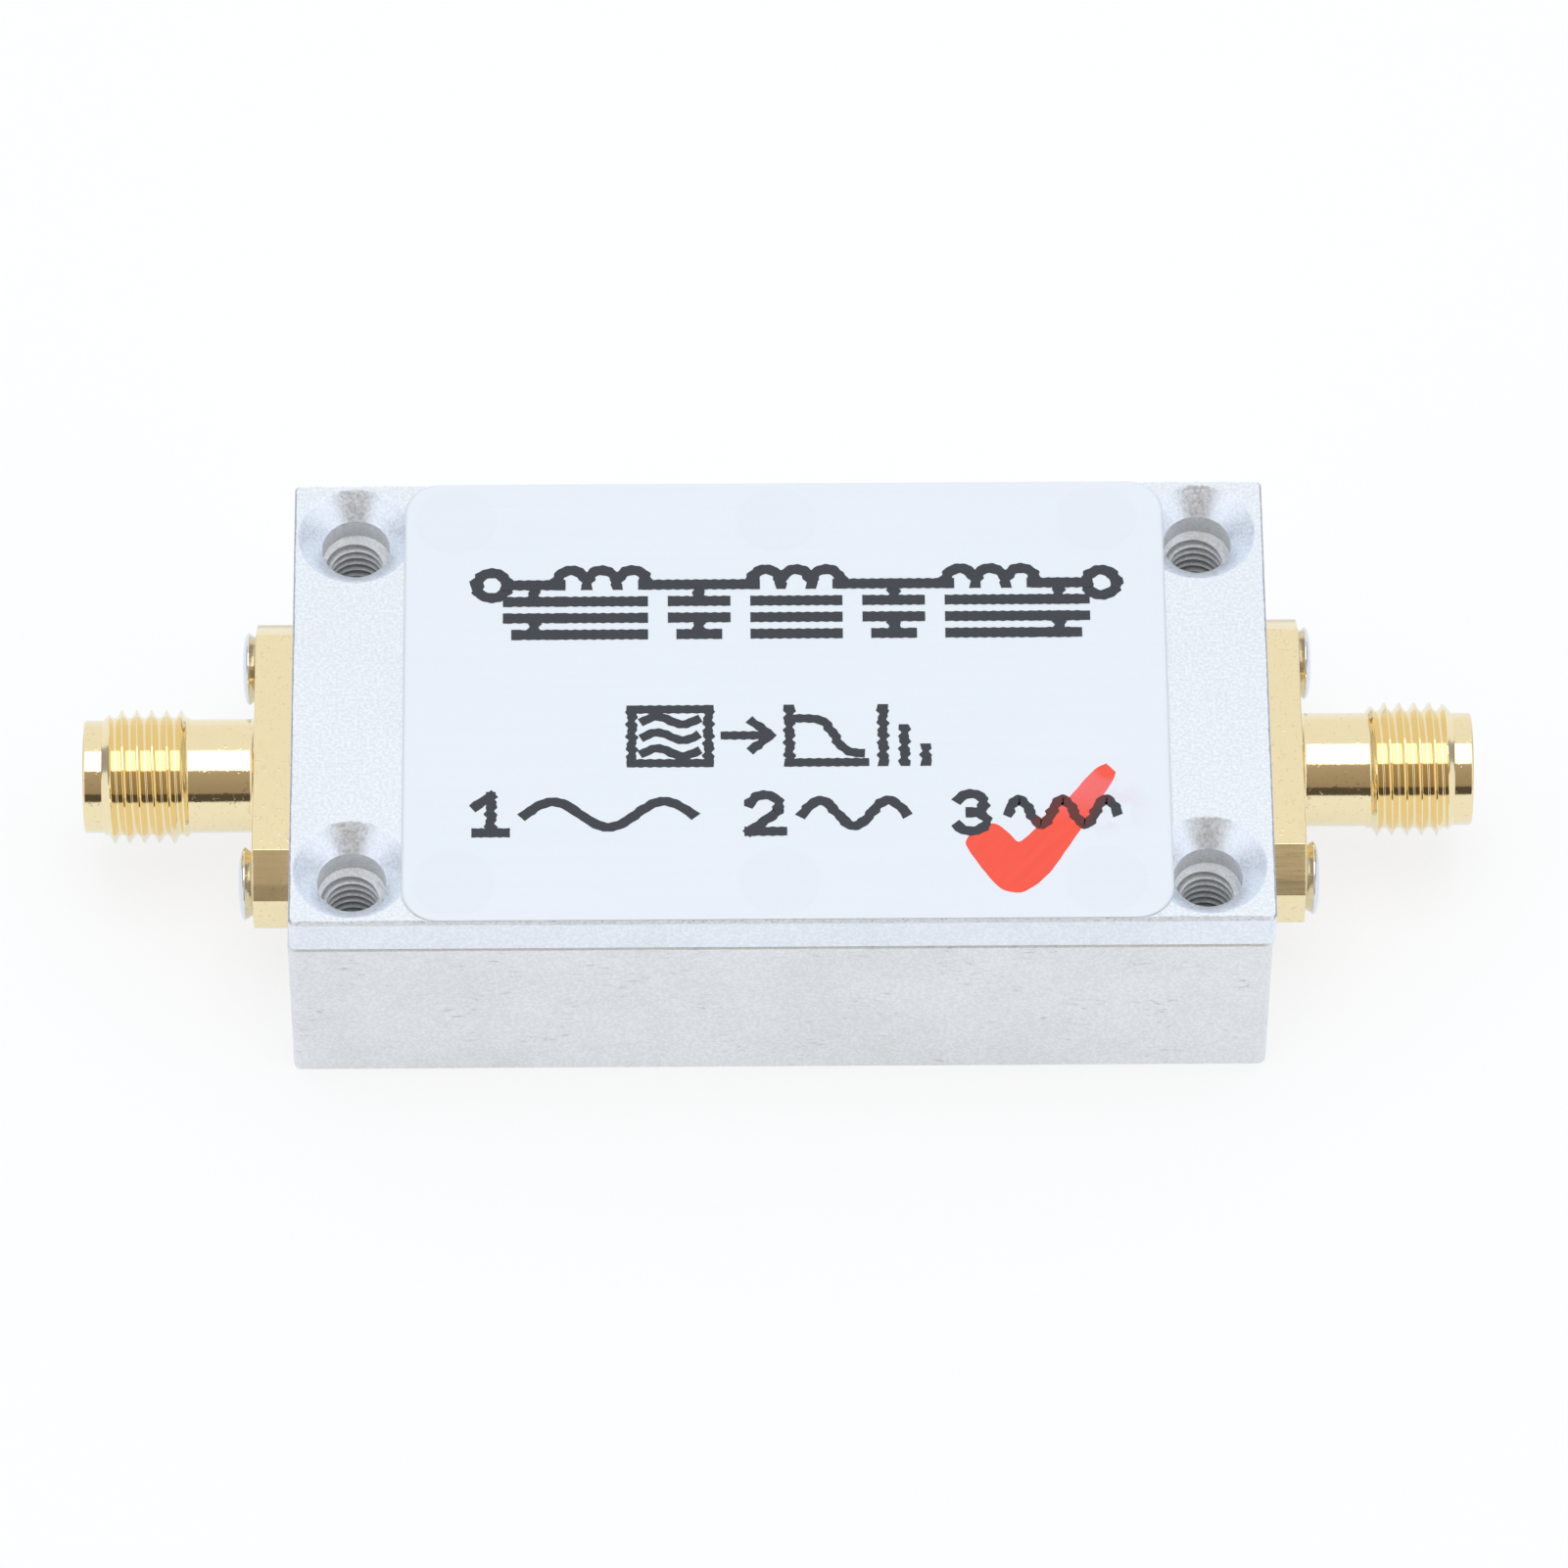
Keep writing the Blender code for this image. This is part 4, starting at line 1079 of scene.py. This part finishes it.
def standing(flat, height):
    """Outline across the jack's axis: its first direction runs along Y, its second along Z."""
    return np.stack([height, flat[..., 0], flat[..., 1]], axis=-1)


def flange_plate():
    """Plate with its four corners cut off at 45 degrees, and its outline and front edge lightly rounded."""
    y, z, cut = FLANGE_LENGTH / 2, FLANGE_HEIGHT / 2, FLANGE_CHAMFER
    corners = [
        (-y, z - cut), (-y + cut, z), (y - cut, z), (y, z - cut),
        (y, -z + cut), (y - cut, -z), (-y + cut, -z), (-y, -z + cut),
    ]
    turn = np.linspace(0.0, math.pi / 2, 5)
    steps = zip(FLANGE_FOLD * (1.0 - np.cos(turn)), FLANGE_FACE - FLANGE_FOLD + FLANGE_FOLD * np.sin(turn))
    return slab("flange", rounded(corners, FLANGE_FOLD, steps=5), [(0.0, FLANGE_BACK), *steps], standing)


def screw_hole(y):
    """Cutter for a clearance hole through the flange."""
    low, high, radius = -OVERSHOOT, FLANGE_FACE + OVERSHOOT, FLANGE_SCREW_HOLE
    grid = turned([(low, 0.0), (low, radius), (high, radius), (high, 0.0)], FLANGE_HOLE_COLUMNS)
    return sheet("screw_hole", grid + np.array([0.0, y, 0.0]))


def gold_plate(name):
    """Bright gold plating with a faint orange peel, fine scratches and specks.

    The flange's slanted corners are brushed, most of all on the right jack, and have painted shade where
    they meet the flange's upright sides.
    """
    s = new_finish(name)
    place, x, y, z = s.spot()
    out = abs(x) - HOUSING_END
    up = z - AXIS_HEIGHT
    peel = s.noise(place, 0.42)
    speck = s.noise(place, 0.10)
    on_thread = s.rise(out, THREAD_START - 0.2, THREAD_START) * s.rise(out, THREAD_END + 0.2, THREAD_END)
    on_flange = s.rise(out, FLANGE_FACE + 0.3, FLANGE_FACE)
    spot = s.rise(s.noise(place, 0.21, 1.0), 0.62, 0.72) * (1.0 - 0.9 * on_thread)
    corner_edge = FLANGE_LENGTH / 2 + FLANGE_HEIGHT / 2 - FLANGE_CHAMFER
    slanted = s.rise(abs(y) + abs(up), corner_edge - 0.05, corner_edge - 0.01)
    slanted = slanted * s.rise(out, FLANGE_FACE + 0.05, FLANGE_FACE)
    # Painted shade: each slanted corner is darker where it meets the flange's upright side.
    painted_fold_shade = s.rise(abs(y), FLANGE_LENGTH / 2 - 0.65, FLANGE_LENGTH / 2 - 0.45) * slanted
    brushed = s.noise(s.vector(x * 0.08, abs(y) - abs(up), 0.0), 0.20, 3.0, 0.7)
    scratch = s.rise(s.noise(s.vector(x * 1.2 + y * 0.10, y * 0.16, up), 0.11), 0.60, 0.72) * on_flange
    ripple = (0.5 * peel + 0.35 * speck) * (1.0 - 0.7 * on_thread) + 0.9 * spot
    relief = ripple + slanted * brushed * 2.2 - scratch * 0.30
    to_right = 0.25 + 0.75 * s.rise(x, -1.0, 1.0)
    tone = 0.985 + 0.05 * (peel - 0.5) - 0.10 * spot - 0.05 * scratch
    tone = tone - slanted * (0.80 * (brushed - 0.5) * to_right - 0.02) - 0.22 * painted_fold_shade
    rough = 0.085 + 0.05 * on_flange + 0.17 * slanted + 0.05 * (speck - 0.5)
    return s.principled(
        Base_Color=s.times(GOLD, tone), Metallic=1.0, Roughness=rough, Normal=s.bump(relief, 0.0028),
    )


def at_end(mesh, side):
    """Moves a mesh from a jack's own axis to the left (-1) or right (1) end of the housing."""
    half_turn = Matrix.Rotation(0.0 if side > 0 else math.pi, 4, "Z")
    mesh.transform(half_turn @ Matrix.Translation((HOUSING_END * MM, 0.0, AXIS_HEIGHT * MM)))
    return mesh


jack = carved(flange_plate(), "UNION", [sheet("barrel", barrel_grid())])
holes = [sheet("bore", bore_grid()), screw_hole(-FLANGE_SCREW_Y), screw_hole(FLANGE_SCREW_Y)]
jack = carved(jack, "DIFFERENCE", holes)
jack_gold = gold_plate("gold plate")
ENDS = (("left", -1), ("right", 1))
for name, side in ENDS:
    piece(name + "_jack", at_end(jack.copy(), side), jack_gold, [name + "_jack_body"])


# Inside each jack a waxy white plastic tube holds the centre contact, a gold-plated socket with four slots,
# which grips the pin of the plug. Its tail reaches over the filter board. Both are pressed in from the back.
INSULATOR_RADIUS = 2.26
INSULATOR_BACK = -6.0
WALL_BORE_RADIUS = INSULATOR_RADIUS - 0.21
WALL_BORE_FRONT = 0.2
RING_INNER = 1.15
RING_OUTER = 1.55
RING_DEPTH = 0.05
CONTACT_CLEARANCE = 0.01
INSULATOR_COLUMNS = 72
CONTACT_COLUMNS = 48
CONTACT_ROUND = 0.06
CONTACT_RADIUS = 0.635
CONTACT_FRONT = 7.85
SOCKET_RADIUS = 0.465
SOCKET_DEPTH = 3.0
SLOT_WIDTH = 0.18
SLOT_LENGTH = 2.5
TAIL_RADIUS = 0.4
TAIL_END = -8.2
PLASTIC_COLOUR = (0.88, 0.87, 0.84)


def insulator_grid():
    """Tube with a shallow turned ring in its front face, narrower behind, where it is in the housing."""
    back, front, inner = INSULATOR_BACK, BORE_BOTTOM, CONTACT_RADIUS + CONTACT_CLEARANCE
    floor = front - RING_DEPTH
    return turned([
        (back, inner), (back, WALL_BORE_RADIUS), (WALL_BORE_FRONT, WALL_BORE_RADIUS),
        (WALL_BORE_FRONT, INSULATOR_RADIUS), (front, INSULATOR_RADIUS), (front, RING_OUTER),
        (floor, RING_OUTER - RING_DEPTH), (floor, RING_INNER + RING_DEPTH), (front, RING_INNER),
        (front, inner + 0.08), (front - 0.08, inner), (back, inner),
    ], INSULATOR_COLUMNS)


def contact_grid():
    """Socket with a rounded lip in front and a round tail behind."""
    back, front, bottom = INSULATOR_BACK, CONTACT_FRONT, CONTACT_FRONT - SOCKET_DEPTH
    return turned(np.concatenate([
        [(TAIL_END, 0.0), (TAIL_END, TAIL_RADIUS), (back, TAIL_RADIUS), (back, CONTACT_RADIUS)],
        arc(front - CONTACT_ROUND, CONTACT_RADIUS - CONTACT_ROUND, CONTACT_ROUND, 90.0, 0.0),
        [(front, SOCKET_RADIUS + 0.05), (front - 0.05, SOCKET_RADIUS), (bottom, SOCKET_RADIUS)],
        [(bottom - 0.3, 0.0)],
    ]), CONTACT_COLUMNS)


def crossed(outline, levels, turn):
    """Two cutters through one outline, at right angles to each other across a jack's axis."""
    cutters = [slab("cutter", outline, levels, standing) for _ in range(2)]
    for number, cutter in enumerate(cutters):
        cutter.transform(Matrix.Rotation(turn + number * math.pi / 2, 4, "X"))
    return cutters


def socket_slots():
    """Cutters for the two slots across the socket."""
    outline = rounded(rectangle(SLOT_WIDTH, 3.0 * CONTACT_RADIUS), 0.01, steps=1)
    return crossed(outline, [(0.0, CONTACT_FRONT - SLOT_LENGTH), (0.0, CONTACT_FRONT + OVERSHOOT)], 0.0)


def waxy_plastic():
    """White fluoroplastic: soft, a little waxy, with faint turning marks."""
    s = new_finish("insulator plastic")
    place, x, y, z = s.spot()
    rings = s.noise(s.vector(s.far(y, z - AXIS_HEIGHT), x * 0.2, 0.0), 0.06)
    cloud = s.noise(place, 0.8)
    return s.principled(
        Base_Color=s.times(PLASTIC_COLOUR, 0.97 + 0.05 * cloud), Roughness=0.42 + 0.15 * (rings - 0.5),
        Normal=s.bump(rings, 0.003), Specular_IOR_Level=0.4,
    )


contact = carved(sheet("contact", contact_grid()), "DIFFERENCE", socket_slots())
plastic = waxy_plastic()
contact_gold = gold_plate("contact gold")
for name, side in ENDS:
    tube = at_end(sheet("insulator", insulator_grid()), side)
    socket = at_end(contact.copy(), side)
    piece(name + "_dielectric", tube, plastic, [name + "_insulator"])
    piece(name + "_socket", socket, contact_gold, [name + "_centre_contact"])


# Two screws hold each flange. Their low heads are nickel plated, widest near the outer face and drawn in
# towards the flange, with a gently domed face and a cross recess that tapers inwards.
# They sit tight on the flange, and their shanks go into tapped holes in the housing's end wall.
HEAD_SEAT_RADIUS = 1.46
HEAD_RIM_RADIUS = 1.74
HEAD_RIM_PLACE = 0.33
HEAD_RIM_ROUND = 0.07
HEAD_HEIGHT = 0.70
SHANK_RADIUS = 1.0
SHANK_END = -6.0
RECESS_SPAN = 0.92
RECESS_WIDTH = 0.21
RECESS_DEPTH = 0.42
RECESS_ROUND = 0.16
RECESS_TAPER = 0.14
RECESS_TURN = 0.4
HEAD_COLUMNS = 72
NICKEL = (0.80, 0.79, 0.77)


def head_grid():
    """Turned screw: shank, seat, a cone out to the rim, a small round and a dome.

    Over a quarter turn the dome's place rises with the sine and its radius shrinks with the cosine to the
    power of 0.75.
    """
    start = HEAD_RIM_PLACE + HEAD_RIM_ROUND
    angles = np.linspace(0.0, math.pi / 2, 17)[1:]
    places = start + (HEAD_HEIGHT - start) * np.sin(angles)
    dome = np.stack([places, (HEAD_RIM_RADIUS - 0.02) * np.cos(angles) ** 0.75], axis=1)
    rim = arc(start, HEAD_RIM_RADIUS - HEAD_RIM_ROUND, HEAD_RIM_ROUND, 150.0, 80.0)
    base = [(SHANK_END, 0.0), (SHANK_END, SHANK_RADIUS), (0.0, SHANK_RADIUS), (0.0, HEAD_SEAT_RADIUS)]
    return turned(np.concatenate([base, rim, dome]), HEAD_COLUMNS)


def cross_recess():
    """Cutters for the cross recess: two rectangles that shrink towards their floor."""
    outline = rounded(rectangle(2.0 * RECESS_SPAN, 2.0 * RECESS_WIDTH), RECESS_ROUND, steps=4)
    levels = [(RECESS_TAPER, HEAD_HEIGHT - RECESS_DEPTH), (0.0, HEAD_HEIGHT), (0.0, HEAD_HEIGHT + OVERSHOOT)]
    return crossed(outline, levels, RECESS_TURN)


def nickel_plate(name, colour, rough):
    """Bright plated steel with a soft ripple, fine specks and a few pits."""
    s = new_finish(name)
    place = s.place()
    ripple = s.noise(place, 0.5)
    speck = s.noise(place, 0.07)
    pit = s.rise(s.noise(place, 0.16), 0.70, 0.78)
    return s.principled(
        Base_Color=s.times(colour, 0.97 + 0.06 * (ripple - 0.5) - 0.2 * pit), Metallic=1.0,
        Roughness=rough + 0.06 * (speck - 0.5) + 0.2 * pit,
        Normal=s.bump(ripple + 0.25 * speck - 0.3 * pit, 0.004),
    )


head = carved(sheet("flange_screw", head_grid()), "DIFFERENCE", cross_recess())
nickel = nickel_plate("nickel plate", NICKEL, 0.10)
for name, side in ENDS:
    for end, place_y in (("front", -1), ("back", 1)):
        screw = head.copy()
        screw.transform(Matrix.Rotation(0.9 * place_y + 0.5 * side, 4, "X"))
        screw.transform(Matrix.Translation((FLANGE_FACE * MM, place_y * side * FLANGE_SCREW_Y * MM, 0.0)))
        node = f"{name}_flange_screw_{end}"
        piece(f"{name}_flange_head_{end}", at_end(screw, side), nickel, [node])


# Six stainless screws hold the lid, under the label. Inside, a green filter board lies on the floor of the
# pocket under four more, with three copper coils in a row and four ceramic capacitors to ground.
# Their solids are kept as they are, each with its own finish.
BOARD_GREEN = (0.018, 0.115, 0.045)
BOARD_TRACK = (0.045, 0.20, 0.085)
STAINLESS = (0.62, 0.61, 0.59)
COPPER = (0.72, 0.27, 0.11)
CERAMIC = (0.46, 0.32, 0.19)
TIN = (0.70, 0.70, 0.69)
WEAVE_TURN = 9.0
CHIP_CAP_START = 0.45
CHIP_MIDDLE_Y = -1.2


def solder_mask():
    """Green lacquer over woven glass, lighter over a copper track along the middle."""
    s = new_finish("board laminate")
    place = s.place()
    x, y = s.along(place)[:2]
    weave = x.maths("SINE", x * WEAVE_TURN) * y.maths("SINE", y * WEAVE_TURN)
    track = s.rise(abs(y), 1.25, 1.15)
    cloud = s.noise(place, 1.5)
    colour = s.blend(track, BOARD_GREEN, BOARD_TRACK)
    return s.principled(
        Base_Color=s.times(colour, 0.9 + 0.2 * cloud), Roughness=0.34 + 0.1 * cloud,
        Normal=s.bump(0.5 * track + 0.1 * weave, 0.02), Coat_Weight=0.2 + 0.1 * cloud,
    )


def enamelled_copper():
    """Copper wire under clear enamel, a little uneven in tone."""
    s = new_finish("coil wire")
    cloud = s.noise(s.place(), 0.5, 3.0)
    return s.principled(
        Base_Color=s.times(COPPER, 0.85 + 0.3 * cloud), Metallic=1.0, Roughness=0.2 + 0.15 * cloud,
        Normal=s.bump(cloud, 0.004), Coat_Weight=0.3 + 0.2 * cloud,
    )


def fired_ceramic():
    """Tan ceramic between two tinned ends."""
    s = new_finish("capacitor ceramic")
    place = s.place()
    y = s.along(place)[1]
    end = s.rise(abs(y - CHIP_MIDDLE_Y), CHIP_CAP_START - 0.01, CHIP_CAP_START + 0.01)
    grain = s.noise(place, 0.09, 3.0)
    return s.principled(
        Base_Color=s.times(s.blend(end, CERAMIC, TIN), 0.9 + 0.2 * grain), Metallic=end * 0.9,
        Roughness=0.55 - 0.2 * end + 0.1 * grain, Normal=s.bump(grain, 0.006),
    )


finishes = {
    "lid_screw": nickel_plate("stainless steel", STAINLESS, 0.24), "circuit_board": solder_mask(),
    "series_coil": enamelled_copper(), "shunt_capacitor": fired_ceramic(),
}
finishes["board_screw"] = finishes["lid_screw"]
for node in sorted(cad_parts):
    for kind, finish in finishes.items():
        if node.startswith(kind):
            dress(node, finish)
